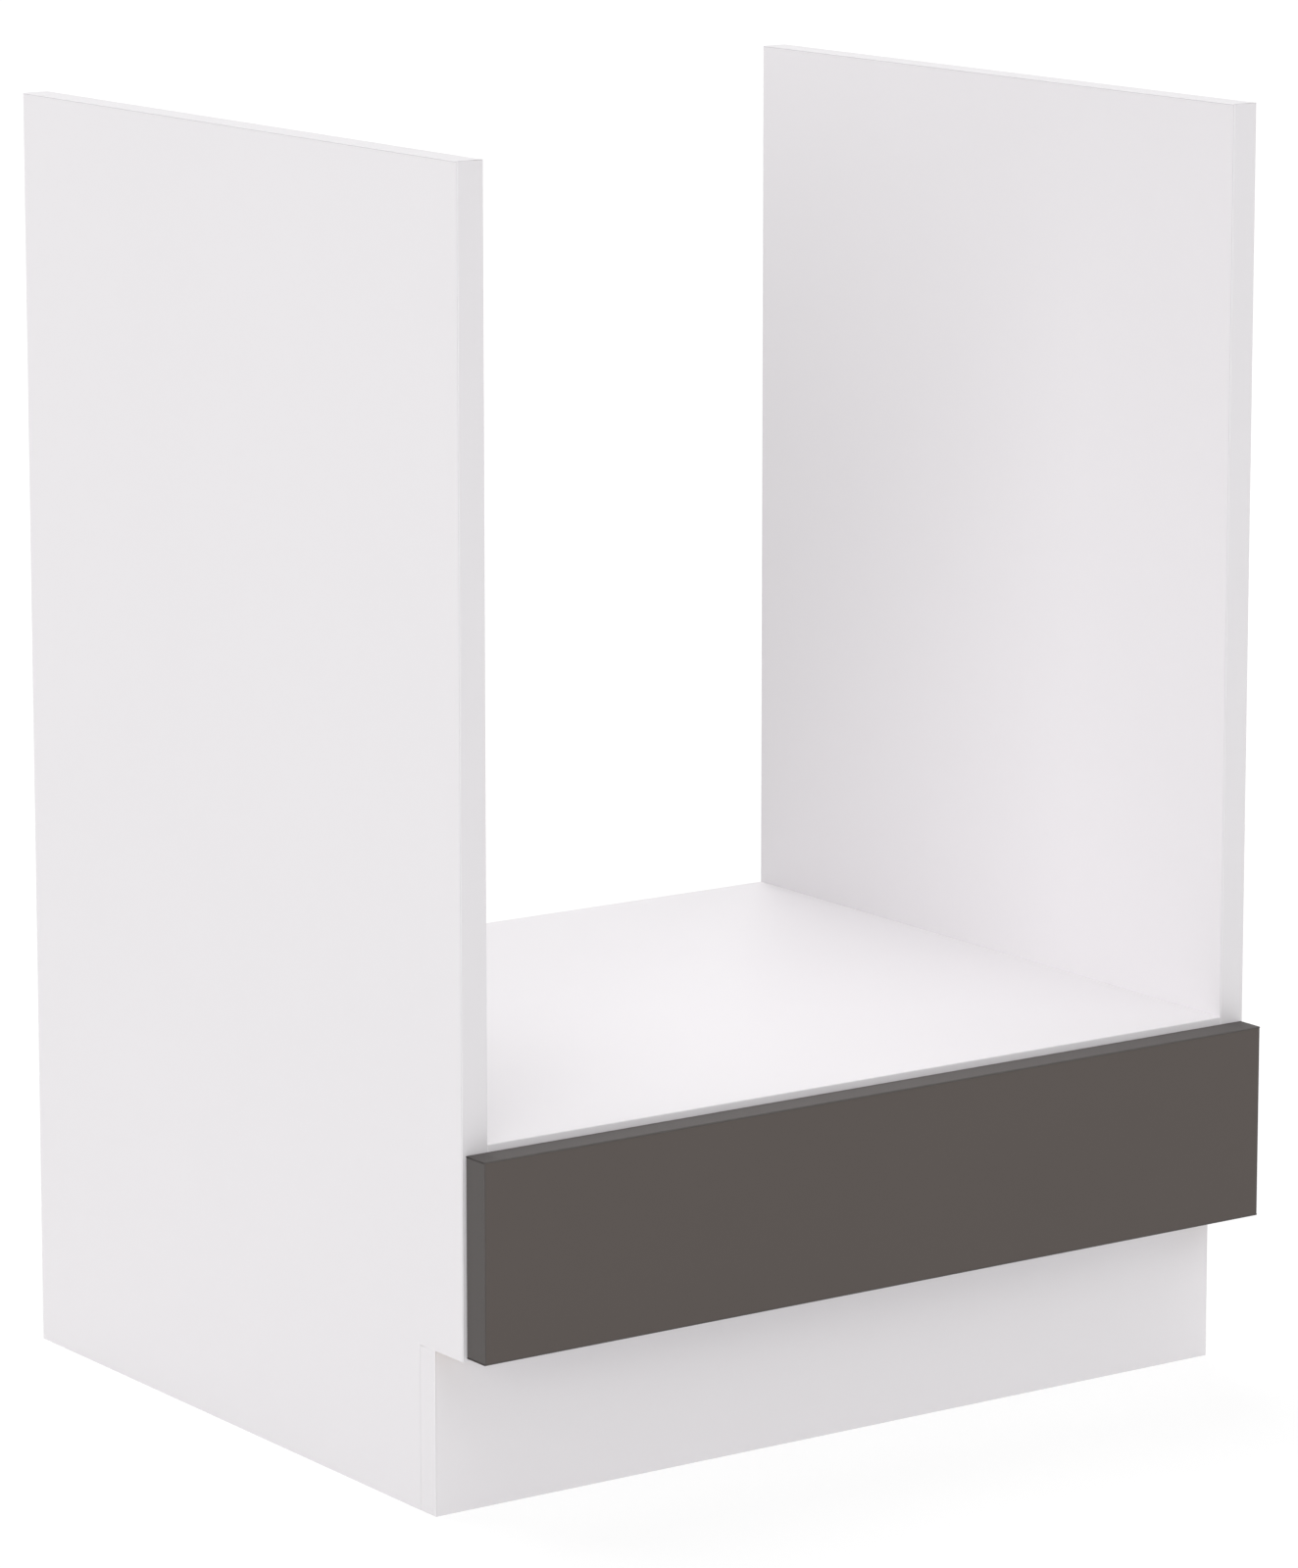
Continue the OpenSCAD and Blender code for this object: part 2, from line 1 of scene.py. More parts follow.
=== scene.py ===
# %% [markdown]
# Kitchen base cabinet for a built-under oven. Two white side panels carry an oven shelf, and a dark
# drawer front closes a shallow bay below it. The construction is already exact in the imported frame,
# so this file gives the pieces their finish, and remakes those whose roundings or threads are finer
# than a construction model needs. The frame is loaded first, because every later piece takes its
# place from it. All lengths are in metres.

# %% Load the frame
import math
import bmesh
import bpy
from mathutils import Matrix, Vector


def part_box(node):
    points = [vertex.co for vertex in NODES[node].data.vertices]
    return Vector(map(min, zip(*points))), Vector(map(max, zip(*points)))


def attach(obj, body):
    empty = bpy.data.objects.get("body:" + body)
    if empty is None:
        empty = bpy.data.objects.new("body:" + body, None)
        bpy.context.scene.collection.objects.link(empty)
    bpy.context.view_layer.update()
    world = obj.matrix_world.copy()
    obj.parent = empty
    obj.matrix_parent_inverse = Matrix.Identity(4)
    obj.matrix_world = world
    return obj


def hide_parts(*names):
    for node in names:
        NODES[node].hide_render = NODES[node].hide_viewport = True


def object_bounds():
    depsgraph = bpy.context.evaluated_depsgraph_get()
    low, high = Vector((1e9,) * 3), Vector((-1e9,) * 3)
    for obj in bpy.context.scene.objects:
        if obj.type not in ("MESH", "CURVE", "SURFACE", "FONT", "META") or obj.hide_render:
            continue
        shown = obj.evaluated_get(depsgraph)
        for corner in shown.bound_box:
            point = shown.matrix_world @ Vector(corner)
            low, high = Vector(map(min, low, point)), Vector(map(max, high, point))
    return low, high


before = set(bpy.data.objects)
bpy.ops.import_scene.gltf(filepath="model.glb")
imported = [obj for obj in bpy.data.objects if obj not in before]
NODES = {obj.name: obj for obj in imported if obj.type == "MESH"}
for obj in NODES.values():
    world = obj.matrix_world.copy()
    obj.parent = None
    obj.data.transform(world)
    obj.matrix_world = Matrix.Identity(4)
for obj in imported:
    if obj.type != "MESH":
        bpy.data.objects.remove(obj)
cad_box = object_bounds()
MM = 0.001
X, Y, Z = Vector((1, 0, 0)), Vector((0, 1, 0)), Vector((0, 0, 1))
SIZE = cad_box[1] - cad_box[0]
print("cabinet:", [round(value / MM, 1) for value in SIZE], "mm,", len(NODES), "nodes")

# %% [markdown]
# The picture was taken from the left of the front, a little above it, with a long lens. Its vertical
# edges run parallel, so the lens was shifted, as architects do to keep walls upright. A full shift
# would push the cabinet out of the frame in the other views, so a small one is used, and the camera
# tilts down for the rest. The camera stands where the photograph's edges say that it stood. The lens
# is written in pixels, as it was measured, and the sensor's size turns it into millimetres.

# %% Camera
IMAGE_HEIGHT = 1600
FOCAL_PIXELS = 6822.7
OPTICAL_AXIS_ROW = 640
SENSOR = 36
FAR_CLIP = 100
CAMERA_PLACE = Vector((-2.41505, -3.44255, 1.23027))
CAMERA_AZIMUTH = math.radians(-35.09)
CAMERA_ELEVATION = math.radians(10.09)


def towards(azimuth, elevation):
    """Unit vector from the cabinet to a viewer or a lamp. Azimuth 0 is in front, and -90 on the left."""
    return Vector((
        math.sin(azimuth) * math.cos(elevation),
        -math.cos(azimuth) * math.cos(elevation),
        math.sin(elevation),
    ))


def into_scene(name, data):
    """New object of a camera, a lamp or a mesh, put into the scene."""
    made = bpy.data.objects.new(name, data)
    bpy.context.scene.collection.objects.link(made)
    return made


lens = bpy.data.cameras.new("camera")
lens.sensor_width = SENSOR
lens.lens = FOCAL_PIXELS / IMAGE_HEIGHT * SENSOR
lens.shift_y = (OPTICAL_AXIS_ROW - IMAGE_HEIGHT / 2) / IMAGE_HEIGHT
lens.clip_end = FAR_CLIP
camera = into_scene("camera", lens)
camera.location = CAMERA_PLACE
camera.rotation_mode = "QUATERNION"
camera.rotation_quaternion = (-towards(CAMERA_AZIMUTH, CAMERA_ELEVATION)).to_track_quat("-Z", "Y")
bpy.context.scene.camera = camera
bpy.context.scene.view_settings.view_transform = "Standard"
print("lens:", round(lens.lens, 1), "mm, shift", round(lens.shift_y, 3))

# %% [markdown]
# Shader trees and geometry trees are both built from nodes and links. One helper makes a node, sets
# its properties, and fills its inputs with values or with the sockets of earlier nodes, so that each
# later cell reads like a recipe. The other helpers are the few nodes that are used again and again.

# %% Node helpers


def add(tree, kind, inputs=None, **settings):
    """A new node. Inputs are named or numbered, and hold values or sockets to link."""
    node = tree.nodes.new(kind)
    for key, value in settings.items():
        setattr(node, key, value)
    for key, value in (inputs or {}).items():
        for part in value if isinstance(value, list) else [value]:
            if isinstance(part, bpy.types.NodeSocket):
                tree.links.new(part, node.inputs[key])
            else:
                node.inputs[key].default_value = part
    return node


def calc(tree, operation, a, b=0.0, clamp=False):
    """Result of a Math node."""
    node = add(tree, "ShaderNodeMath", {0: a, 1: b}, operation=operation, use_clamp=clamp)
    return node.outputs[0]


def times(tree, a, b):
    """Product of two numbers."""
    return calc(tree, "MULTIPLY", a, b)


def minus(tree, a, b):
    """What is left of a when b is taken away."""
    return calc(tree, "SUBTRACT", a, b)


def between(tree, value, low, high, to_low=0.0, to_high=1.0):
    """Value taken from the range low to high into the range to_low to to_high, and held there."""
    node = add(tree, "ShaderNodeMapRange", {0: value, 1: low, 2: high, 3: to_low, 4: to_high})
    return node.outputs[0]


def pick(tree, test, yes, no):
    """Number that is yes where the test is 1, and no where it is 0."""
    return add(tree, "ShaderNodeMix", {0: test, 2: no, 3: yes}).outputs[0]


def mixed(tree, share, a, b):
    """Colour between a, where share is 0, and b, where it is 1."""
    node = add(tree, "ShaderNodeMix", {0: share, 6: a, 7: b}, data_type="RGBA")
    return node.outputs[2]


def colour(red, green, blue):
    """Linear colour with full alpha."""
    return (red, green, blue, 1.0)


# %% [markdown]
# Each finish is one Principled shader. Its pattern is laid out in Object coordinates, which are metres
# in the cabinet's own frame, so a flake or a grain keeps its real size on every board. A real surface
# is never one flat colour, so each finish has a cloudy change of tone, a roughness that varies, and a
# shallow relief that breaks up its shine.

# %% Parts of every finish
# Values between which a noise pattern mostly stays
NOISE_RANGE = (0.3, 0.7)
# Cosine from which a surface counts as facing an axis
FACES_AXIS = 0.5


def empty_tree(owner):
    """Shader tree of a material or a world, cleared of the nodes that it starts with."""
    owner.use_nodes = True
    owner.node_tree.nodes.clear()
    return owner.node_tree


def start_finish(name, **constants):
    """Material with a Principled shader, whose even values are set on it, and the socket of the place."""
    material = bpy.data.materials.new(name)
    tree = empty_tree(material)
    values = {key.replace("_", " "): value for key, value in constants.items()}
    shader = add(tree, "ShaderNodeBsdfPrincipled", values)
    add(tree, "ShaderNodeOutputMaterial", {"Surface": shader.outputs[0]})
    place = add(tree, "ShaderNodeTexCoord").outputs["Object"]
    return material, tree, shader, place


def noise(tree, place, scale, detail=2.0):
    """Cloudy grey pattern. Scale is in waves a metre, and may differ along X, Y and Z."""
    stretch = scale if isinstance(scale, tuple) else (scale, scale, scale)
    mapping = add(tree, "ShaderNodeMapping", {"Vector": place, "Scale": stretch})
    node = add(tree, "ShaderNodeTexNoise", {"Vector": mapping.outputs[0], "Scale": 1.0, "Detail": detail})
    return node.outputs[0]


def shaded(tree, share, base, dark):
    """A base colour where share is 1, down to a darker shade of it where share is 0."""
    return mixed(tree, share, colour(*(part * dark for part in base)), colour(*base))


def varied(tree, pattern, low, high):
    """Roughness that rises from low to high with a noise pattern."""
    return between(tree, pattern, *NOISE_RANGE, low, high)


def facing(tree, axis):
    """How squarely the surface looks along an axis, from -1 to 1."""
    normal = add(tree, "ShaderNodeNewGeometry").outputs["True Normal"]
    return add(tree, "ShaderNodeSeparateXYZ", {0: normal}).outputs[axis]


def surface(tree, shader, base, roughness, height, depth, strength):
    """Gives a shader its colour, its roughness, and a relief of some depth from a height."""
    relief = add(tree, "ShaderNodeBump", {"Height": height, "Distance": depth, "Strength": strength})
    for key, socket in (("Base Color", base), ("Roughness", roughness), ("Normal", relief.outputs[0])):
        tree.links.new(socket, shader.inputs[key])


# %% [markdown]
# The floor is pale and catches a faint shadow. The catalogue picture has a pure white ground, so for
# the camera, and for metal and glass that reflect the ground, the floor glows a little below white and
# the lamps fill the rest. For all other light it is a plain pale floor that sends soft light back up.

# %% Floor
FLOOR_HALF = 40.0
FLOOR_WHITE = colour(0.8, 0.8, 0.8)
SEEN_SHARE = 0.22
GLOW = 0.82


def seen_rays(tree):
    """1 for camera, mirror and glass rays, 0 for the light that bounces off matt surfaces."""
    rays = add(tree, "ShaderNodeLightPath").outputs
    seen = calc(tree, "MAXIMUM", rays["Is Camera Ray"], rays["Is Glossy Ray"])
    return calc(tree, "MAXIMUM", seen, rays["Is Transmission Ray"])


def floor_finish():
    """Plain pale floor that looks nearly white to the camera."""
    material = bpy.data.materials.new("pale_floor")
    tree = empty_tree(material)
    plain = add(tree, "ShaderNodeBsdfDiffuse", {"Color": FLOOR_WHITE})
    seen = add(tree, "ShaderNodeBsdfDiffuse", {"Color": colour(SEEN_SHARE, SEEN_SHARE, SEEN_SHARE)})
    glow = add(tree, "ShaderNodeEmission", {"Color": colour(1, 1, 1), "Strength": GLOW})
    bright = add(tree, "ShaderNodeAddShader", {0: seen.outputs[0], 1: glow.outputs[0]})
    both = add(tree, "ShaderNodeMixShader", {0: seen_rays(tree), 1: plain.outputs[0], 2: bright.outputs[0]})
    add(tree, "ShaderNodeOutputMaterial", {"Surface": both.outputs[0]})
    material.cycles.emission_sampling = "NONE"
    return material


floor_mesh = bpy.data.meshes.new("floor")
floor_corners = [(-1, -1), (1, -1), (1, 1), (-1, 1)]
floor_mesh.from_pydata([(x * FLOOR_HALF, y * FLOOR_HALF, 0) for x, y in floor_corners], [], [(0, 1, 2, 3)])
floor_mesh.materials.append(floor_finish())
floor = into_scene("floor", floor_mesh)
print("floor:", 2 * FLOOR_HALF, "m square")

# %% [markdown]
# The light is that of a white studio: an even glow from all round and four soft boxes, one high at the
# back, one high in front, and one low at each side. Sun lamps with a wide angle stand for them, because
# their light is as strong at the far end of the floor as at the cabinet, so the ground stays evenly
# white. The low one on the left reaches across the open niche, and gives the far panel its gradual
# change from back to front. The one at the back stands well above the horizon, because from lower down
# its glare would wash out the flat tops of the shelf and the panels.

# %% Light
AMBIENT = 0.35
# Azimuth and elevation in degrees, strength, and angular width in degrees
SOFT_BOXES = {
    "soft_box_back": (180, 55, 1.44, 50),
    "soft_box_front": (0, 55, 0.72, 60),
    "soft_box_low_left": (-50, 5, 2.20, 50),
    "soft_box_low_right": (95, 8, 0.85, 50),
}

world = bpy.data.worlds.new("studio")
bpy.context.scene.world = world
tree = empty_tree(world)
seen_strength = between(tree, seen_rays(tree), 0.0, 1.0, AMBIENT, 1.0)
sky = add(tree, "ShaderNodeBackground", {"Color": colour(1, 1, 1), "Strength": seen_strength})
add(tree, "ShaderNodeOutputWorld", {"Surface": sky.outputs[0]})

for name, (azimuth, elevation, strength, spread) in SOFT_BOXES.items():
    lamp = bpy.data.lights.new(name, "SUN")
    lamp.energy = strength
    lamp.angle = math.radians(spread)
    to_lamp = towards(math.radians(azimuth), math.radians(elevation))
    into_scene(name, lamp).rotation_euler = (-to_lamp).to_track_quat("-Z", "Y").to_euler()
print("lamps:", len(SOFT_BOXES), "and a glow of", AMBIENT)

# %% [markdown]
# The boards are chipboard: chips pressed in three layers, coarse in the core and fine near the faces.
# An edge that no strip covers shows them. A Voronoi pattern gives each chip its own shade of brown and
# a dark gap round it. It is squeezed across the board, because the chips lie flat.

# %% Pressed chips
CORE_CHIP = 4.5 * MM
FINE_CHIP = CORE_CHIP / 4
CHIP_PALE = colour(0.62, 0.45, 0.27)
CHIP_BROWN = colour(0.43, 0.28, 0.15)
CHIP_DARK = colour(0.20, 0.12, 0.06)
CHIP_FLATNESS = 3


def chips(tree, place, size, axis):
    """Colour and height of pressed chips of one size, flat across the board's thickness."""
    scale = [1 / size] * 3
    scale[axis] *= CHIP_FLATNESS
    mapping = add(tree, "ShaderNodeMapping", {"Vector": place, "Scale": tuple(scale)})
    cells = add(tree, "ShaderNodeTexVoronoi", {"Vector": mapping.outputs[0], "Scale": 1.0})
    grey = add(tree, "ShaderNodeSeparateColor", {0: cells.outputs["Color"]}).outputs[0]
    pale = mixed(tree, between(tree, grey, 0.2, 0.9), CHIP_BROWN, CHIP_PALE)
    gaps = between(tree, cells.outputs["Distance"], 0.45, 0.75)
    return mixed(tree, gaps, pale, CHIP_DARK), cells.outputs["Distance"]


# %% [markdown]
# Both faces of a board carry a white resin film with a fine orange peel and a satin shine. At a raw
# edge it shows as a white line. One material function serves all boards: it needs only the direction
# square to the faces, and the normal then tells face from edge.

# %% White board
FILM_WHITE = (0.815, 0.795, 0.812)
FILM_T = 0.35 * MM
FINE_LAYER = 3 * MM
BOARD_AXES = {
    "side_panel_left": 0, "side_panel_right": 0, "oven_shelf": 2, "bottom_board": 2, "plinth_board": 1,
    "box_side_left": 0, "box_side_right": 0, "box_front": 1, "box_back": 1,
}


def board_finish(name, node, axis):
    """Melamine board whose faces are square to an axis, numbered 0 for X, 1 for Y and 2 for Z."""
    low, high = (corner[axis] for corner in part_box(node))
    material, tree, shader, place = start_finish(name, Specular_IOR_Level=0.4)
    along = add(tree, "ShaderNodeSeparateXYZ", {0: place}).outputs[axis]
    off_middle = calc(tree, "ABSOLUTE", minus(tree, along, (high + low) / 2))
    depth = minus(tree, (high - low) / 2, off_middle)
    raw = calc(tree, "LESS_THAN", calc(tree, "ABSOLUTE", facing(tree, axis)), FACES_AXIS)
    bare = calc(tree, "SUBTRACT", raw, calc(tree, "LESS_THAN", depth, FILM_T), clamp=True)
    coarse, coarse_height = chips(tree, place, CORE_CHIP, axis)
    fine = chips(tree, place, FINE_CHIP, axis)[0]
    edge = mixed(tree, between(tree, depth, FINE_LAYER * 0.8, FINE_LAYER * 1.2), fine, coarse)
    white = shaded(tree, noise(tree, place, 6.0, 3.0), FILM_WHITE, 0.985)
    peel = noise(tree, place, 1400.0, 1.0)
    roughness = pick(tree, bare, 0.85, varied(tree, peel, 0.42, 0.50))
    height = pick(tree, bare, times(tree, coarse_height, -1.0), times(tree, peel, 0.03))
    surface(tree, shader, mixed(tree, bare, white, edge), roughness, height, 0.6 * MM, 0.6)
    return material


def finish_node(node, material):
    """Gives a CAD node its finish."""
    mesh = NODES[node].data
    mesh.materials.clear()
    mesh.materials.append(material)


for node, axis in BOARD_AXES.items():
    finish_node(node, board_finish(node + "_melamine", node, axis))
print("melamine boards:", len(BOARD_AXES))

# %% [markdown]
# The back panel and the drawer's bottom are hardboard: fibres pressed into a thin brown sheet, with a
# coat of white lacquer on the side that shows. The outer side stays brown, with a fine speckle of
# darker fibres.

# %% Hardboard
LACQUER_WHITE = colour(0.78, 0.765, 0.77)
FIBRE_BROWN, FIBRE_DARK = colour(0.33, 0.20, 0.11), colour(0.19, 0.11, 0.06)


def hardboard_finish(name, axis, white_side):
    """Brown hardboard, lacquered on the face that looks along an axis, with white_side 1 or -1."""
    material, tree, shader, place = start_finish(name)
    lacquer = calc(tree, "GREATER_THAN", times(tree, facing(tree, axis), white_side), FACES_AXIS)
    speckle = noise(tree, place, 900.0, 4.0)
    cloud = noise(tree, place, 14.0, 3.0)
    fibre = calc(tree, "ADD", times(tree, speckle, 0.7), times(tree, cloud, 0.3))
    brown = mixed(tree, between(tree, fibre, 0.35, 0.62), FIBRE_DARK, FIBRE_BROWN)
    base = mixed(tree, lacquer, brown, LACQUER_WHITE)
    surface(tree, shader, base, pick(tree, lacquer, 0.38, 0.62), speckle, 0.05 * MM, 0.5)
    return material


finish_node("back_panel", hardboard_finish("back_hardboard", 1, -1))
finish_node("box_bottom", hardboard_finish("drawer_hardboard", 2, 1))
print("hardboard sheets: 2")

# %% [markdown]
# Strips and fasteners share CAD nodes, each as a separate solid. The pieces that stand for them are
# placed by measuring those solids, so nothing is placed by eye. A solid is found as a group of points
# that edges join, once the doubled corners of the loose triangles are merged in a working copy.

# %% Solids of a node
SAME_POINT = 0.001 * MM


def solids(node):
    """Corner points of each separate solid of a CAD node."""
    work = bmesh.new()
    work.from_mesh(NODES[node].data)
    bmesh.ops.remove_doubles(work, verts=work.verts, dist=SAME_POINT)
    found, seen = [], set()
    for first in work.verts:
        if first in seen:
            continue
        group, queue = [], [first]
        seen.add(first)
        while queue:
            vert = queue.pop()
            group.append(vert.co.copy())
            for edge in vert.link_edges:
                other = edge.other_vert(vert)
                if other not in seen:
                    seen.add(other)
                    queue.append(other)
        found.append(group)
    work.free()
    return found


def box_of(points):
    """Lowest and highest corner of some points."""
    low = Vector(min(p[i] for p in points) for i in range(3))
    high = Vector(max(p[i] for p in points) for i in range(3))
    return low, high


def boxes_of(node):
    """Lowest and highest corner of each solid of a CAD node."""
    return [box_of(points) for points in solids(node)]


print("solids of top_edging:", len(boxes_of("top_edging")))

# %% [markdown]
# A strip is a box with rounded edges on its outer side only, where a scraper has run along it. A Bevel
# modifier rounds just the edges that carry a weight, and Weighted Normal keeps the flats flat, so the
# rounding alone catches the light. Bevelling every edge would open a gap where strip and board meet.

# %% Rounded bars
# Cosine from which a face counts as the outer one
OUTER_FACE = 0.9


def plain_mesh(holder, name):
    """The holder's shape with its modifiers worked in, as a new object. The holder is deleted."""
    bpy.context.view_layer.update()
    evaluated = holder.evaluated_get(bpy.context.evaluated_depsgraph_get())
    mesh = bpy.data.meshes.new_from_object(evaluated)
    mesh.name = name
    bpy.data.objects.remove(holder)
    return into_scene(name, mesh)


def weighted_boxes(name, boxes, outer):
    """Mesh of boxes whose edges round the outer face carry a bevel weight. outer says where it looks."""
    work = bmesh.new()
    weight = work.edges.layers.float.new("bevel_weight_edge")
    for low, high in boxes:
        middle = (low + high) / 2
        made = bmesh.ops.create_cube(work, size=1)
        place = Matrix.Translation(middle) @ Matrix.Diagonal((high - low).to_4d())
        bmesh.ops.transform(work, matrix=place, verts=made["verts"])
        work.normal_update()
        for face in {face for vert in made["verts"] for face in vert.link_faces}:
            if face.normal.dot(outer(middle)) > OUTER_FACE:
                for edge in face.edges:
                    edge[weight] = 1
    mesh = bpy.data.meshes.new(name)
    work.to_mesh(mesh)
    work.free()
    mesh.shade_smooth()
    return mesh


def rounded_bars(name, node, outer, radius, segments):
    """The solids of a node as boxes, rounded round their outer faces."""
    holder = into_scene(name + "_plan", weighted_boxes(name, boxes_of(node), outer))
    bevel = holder.modifiers.new("round", "BEVEL")
    bevel.limit_method = "WEIGHT"
    bevel.width = radius
    bevel.segments = segments
    flats = holder.modifiers.new("flats", "WEIGHTED_NORMAL")
    flats.keep_sharp = True
    return plain_mesh(holder, name)


def hand_over(piece, body, slot, material, *replaced):
    """Finishes a piece, puts it on its body and lets it stand for the CAD nodes that it replaces."""
    piece.data.materials.clear()
    piece.data.materials.append(material)
    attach(piece, body)
    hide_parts(*replaced)
    print(piece.name, len(piece.data.polygons), "faces")


# %% [markdown]
# Edging strips are thin ABS plastic, smooth enough to shine a little. The strips on the front and top
# edges are a shade darker than the film: partly their own tone, partly painted shade. The strips on the
# plinth's ends lie in one plane with the side panels and look the same, so they share the film's tone.
# Only a hairline joint shows.

# %% White strips
STRIP_ROUND = 0.5 * MM
STRIP_SEGMENTS = 3
# Tone of the front and top strips: a shade darker than the film, partly their own tone, partly painted shade
STRIP_WHITE_WITH_PAINTED_SHADE = (0.735, 0.717, 0.735)
FORWARD_STRIPS = ["side_edging_left", "side_edging_right", "shelf_edging", "bottom_edging"]


def strip_finish(name, base, shine, roughness):
    """ABS with a faint pearl and a satin shine."""
    material, tree, shader, place = start_finish(name, Specular_IOR_Level=shine)
    tone = shaded(tree, noise(tree, place, 35.0), base, 0.98)
    pearl = noise(tree, place, 1600.0, 1.0)
    satin = varied(tree, pearl, roughness, roughness + 0.08)
    surface(tree, shader, tone, satin, pearl, 0.02 * MM, 0.4)
    return material


def strips(node, body, slot, outer, material):
    """Strips of a node, rounded on the side that outer gives for the middle of each."""
    made = rounded_bars(node + "_strip", node, outer, STRIP_ROUND, STRIP_SEGMENTS)
    hand_over(made, body, slot, material, node)


def outwards(middle):
    """Direction along X, away from the cabinet's middle."""
    return X * math.copysign(1, middle.x)


# The white strips' darker tone carries painted shade; the plinth strips keep the film's tone
white_strip_with_painted_shade = strip_finish("white_strip_with_painted_shade", STRIP_WHITE_WITH_PAINTED_SHADE, 0.45, 0.34)
plinth_strip = strip_finish("plinth_strip", FILM_WHITE, 0.4, 0.42)
for node in FORWARD_STRIPS:
    strips(node, "carcass", "edging_strip", lambda middle: -Y, white_strip_with_painted_shade)
strips("top_edging", "carcass", "edging_strip", lambda middle: Z, white_strip_with_painted_shade)
for node in ("box_side_edging", "box_end_edging"):
    strips(node, "drawer", "edging_strip", lambda middle: Z, white_strip_with_painted_shade)
strips("plinth_edging", "carcass", "edging_strip", outwards, plinth_strip)

# %% [markdown]
# The drawer front is the same kind of chipboard with a dark matt film in front and white film behind,
# and dark strips on its four edges. The strips are a shade greyer than the film. Their crisp edges show
# in the photograph as a band along the top and down the left end. The film is nearly even: a very fine
# grain breaks its shine.

# %% Drawer front
FILM_DARK = (0.0945, 0.0805, 0.0735)
STRIP_DARK = (0.102, 0.094, 0.091)
FRONT_MIDDLE_Z = sum(corner.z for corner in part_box("drawer_front")) / 2


def dark_film_finish():
    """Dark film, and white film where the board looks backwards."""
    material, tree, shader, place = start_finish("dark_film", Specular_IOR_Level=0.2)
    back = calc(tree, "GREATER_THAN", facing(tree, 1), FACES_AXIS)
    dark = shaded(tree, noise(tree, place, 9.0, 3.0), FILM_DARK, 0.95)
    grain = noise(tree, place, 2600.0)
    matt = varied(tree, grain, 0.52, 0.62)
    surface(tree, shader, mixed(tree, back, dark, colour(*FILM_WHITE)), matt, grain, 0.02 * MM, 0.5)
    return material


def up_or_down(middle):
    """Direction along Z, away from the middle of the front."""
    return Z * math.copysign(1, middle.z - FRONT_MIDDLE_Z)


finish_node("drawer_front", dark_film_finish())
dark_strip = strip_finish("dark_strip", STRIP_DARK, 0.12, 0.55)
strips("front_end_edging", "drawer", "dark_front", outwards, dark_strip)
strips("front_long_edging", "drawer", "dark_front", up_or_down, dark_strip)

# %% [markdown]
# Runners, angles and screws are zinc plated steel. Sheet for the runners is rolled, so faint lines
# run along it, and the plating has a soft cloudy shine with a touch of blue. The cam locks are cast,
# so they are rougher and duller, and the balls are polished.

# %% Zinc plated steel
ZINC = (0.60, 0.61, 0.63)


def zinc_finish(name, waves, rough_low, rough_high, tint=1.0):
    """Zinc or steel. waves is the pattern's fineness in waves a metre."""
    material, tree, shader, place = start_finish(name, Metallic=1.0)
    lines = noise(tree, place, waves, 3.0)
    cloud = noise(tree, place, 120.0)
    share = between(tree, times(tree, calc(tree, "ADD", lines, cloud), 0.5), 0.35, 0.65)
    base = shaded(tree, share, tuple(part * tint for part in ZINC), 0.86)
    roughness = between(tree, share, 0.0, 1.0, rough_low, rough_high)
    surface(tree, shader, base, roughness, lines, 0.02 * MM, 0.4)
    return material


rolled_zinc = zinc_finish("rolled_zinc", (1500.0, 12.0, 1500.0), 0.28, 0.42)
screw_zinc = zinc_finish("screw_zinc", 700.0, 0.22, 0.36)
cast_zinc = zinc_finish("cast_zinc", 500.0, 0.42, 0.58, 0.85)
ball_steel = zinc_finish("ball_steel", 300.0, 0.08, 0.14, 1.1)

SHEET_NODES = ["plinth_brackets", "outer_ball_cages", "inner_ball_cages"]
for node in SHEET_NODES:
    finish_node(node, rolled_zinc)
print("bent sheet:", ", ".join(SHEET_NODES))

# %% [markdown]
# The stops behind the runners are black plastic, the pads behind the front are clear, and the dowels
# are beech. Moulded plastic has a fine grain from its mould. Beech has short brown flecks that run
# along the wood, so its pattern is stretched along the dowel, which is X.

# %% Plastic and beech
BEECH_PALE, BEECH_BROWN = colour(0.63, 0.45, 0.28), colour(0.50, 0.33, 0.19)


def plastic_finish(name, base, roughness, **constants):
    """Moulded plastic. Constants are further even values of the shader."""
    material, tree, shader, place = start_finish(name, **constants)
    grain = noise(tree, place, 900.0)
    satin = varied(tree, grain, roughness, roughness + 0.1)
    surface(tree, shader, shaded(tree, grain, base, 0.85), satin, grain, 0.03 * MM, 0.4)
    return material


def beech_finish():
    """Pale beech with darker flecks along X."""
    material, tree, shader, place = start_finish("beech")
    flecks = between(tree, noise(tree, place, (60.0, 1400.0, 1400.0), 3.0), 0.35, 0.65)
    dry = between(tree, flecks, 0.0, 1.0, 0.74, 0.66)
    surface(tree, shader, mixed(tree, flecks, BEECH_BROWN, BEECH_PALE), dry, flecks, 0.015 * MM, 0.4)
    return material


beech = beech_finish()
clear_pad = plastic_finish("clear_pad", (0.75, 0.77, 0.77), 0.2, Transmission_Weight=0.6)
finish_node("runner_stops", plastic_finish("black_plastic", (0.02, 0.02, 0.02), 0.4))
print("finishes:", beech.name, clear_pad.name, "black_plastic")

# %% [markdown]
# Screws, cams, dowels and balls repeat many times, so Geometry Nodes make them: a tree describes one
# piece, and sets a copy at every place that it is given. A tree keeps its sizes as named inputs, so the
# same screw tree serves a short runner screw and a long corner screw. Each tree ends alike: the copies
# are made real and get their material, because only real meshes can be exported.

# %% Start and end of a geometry tree
SOCKET_KINDS = {float: "NodeSocketFloat", int: "NodeSocketInt"}


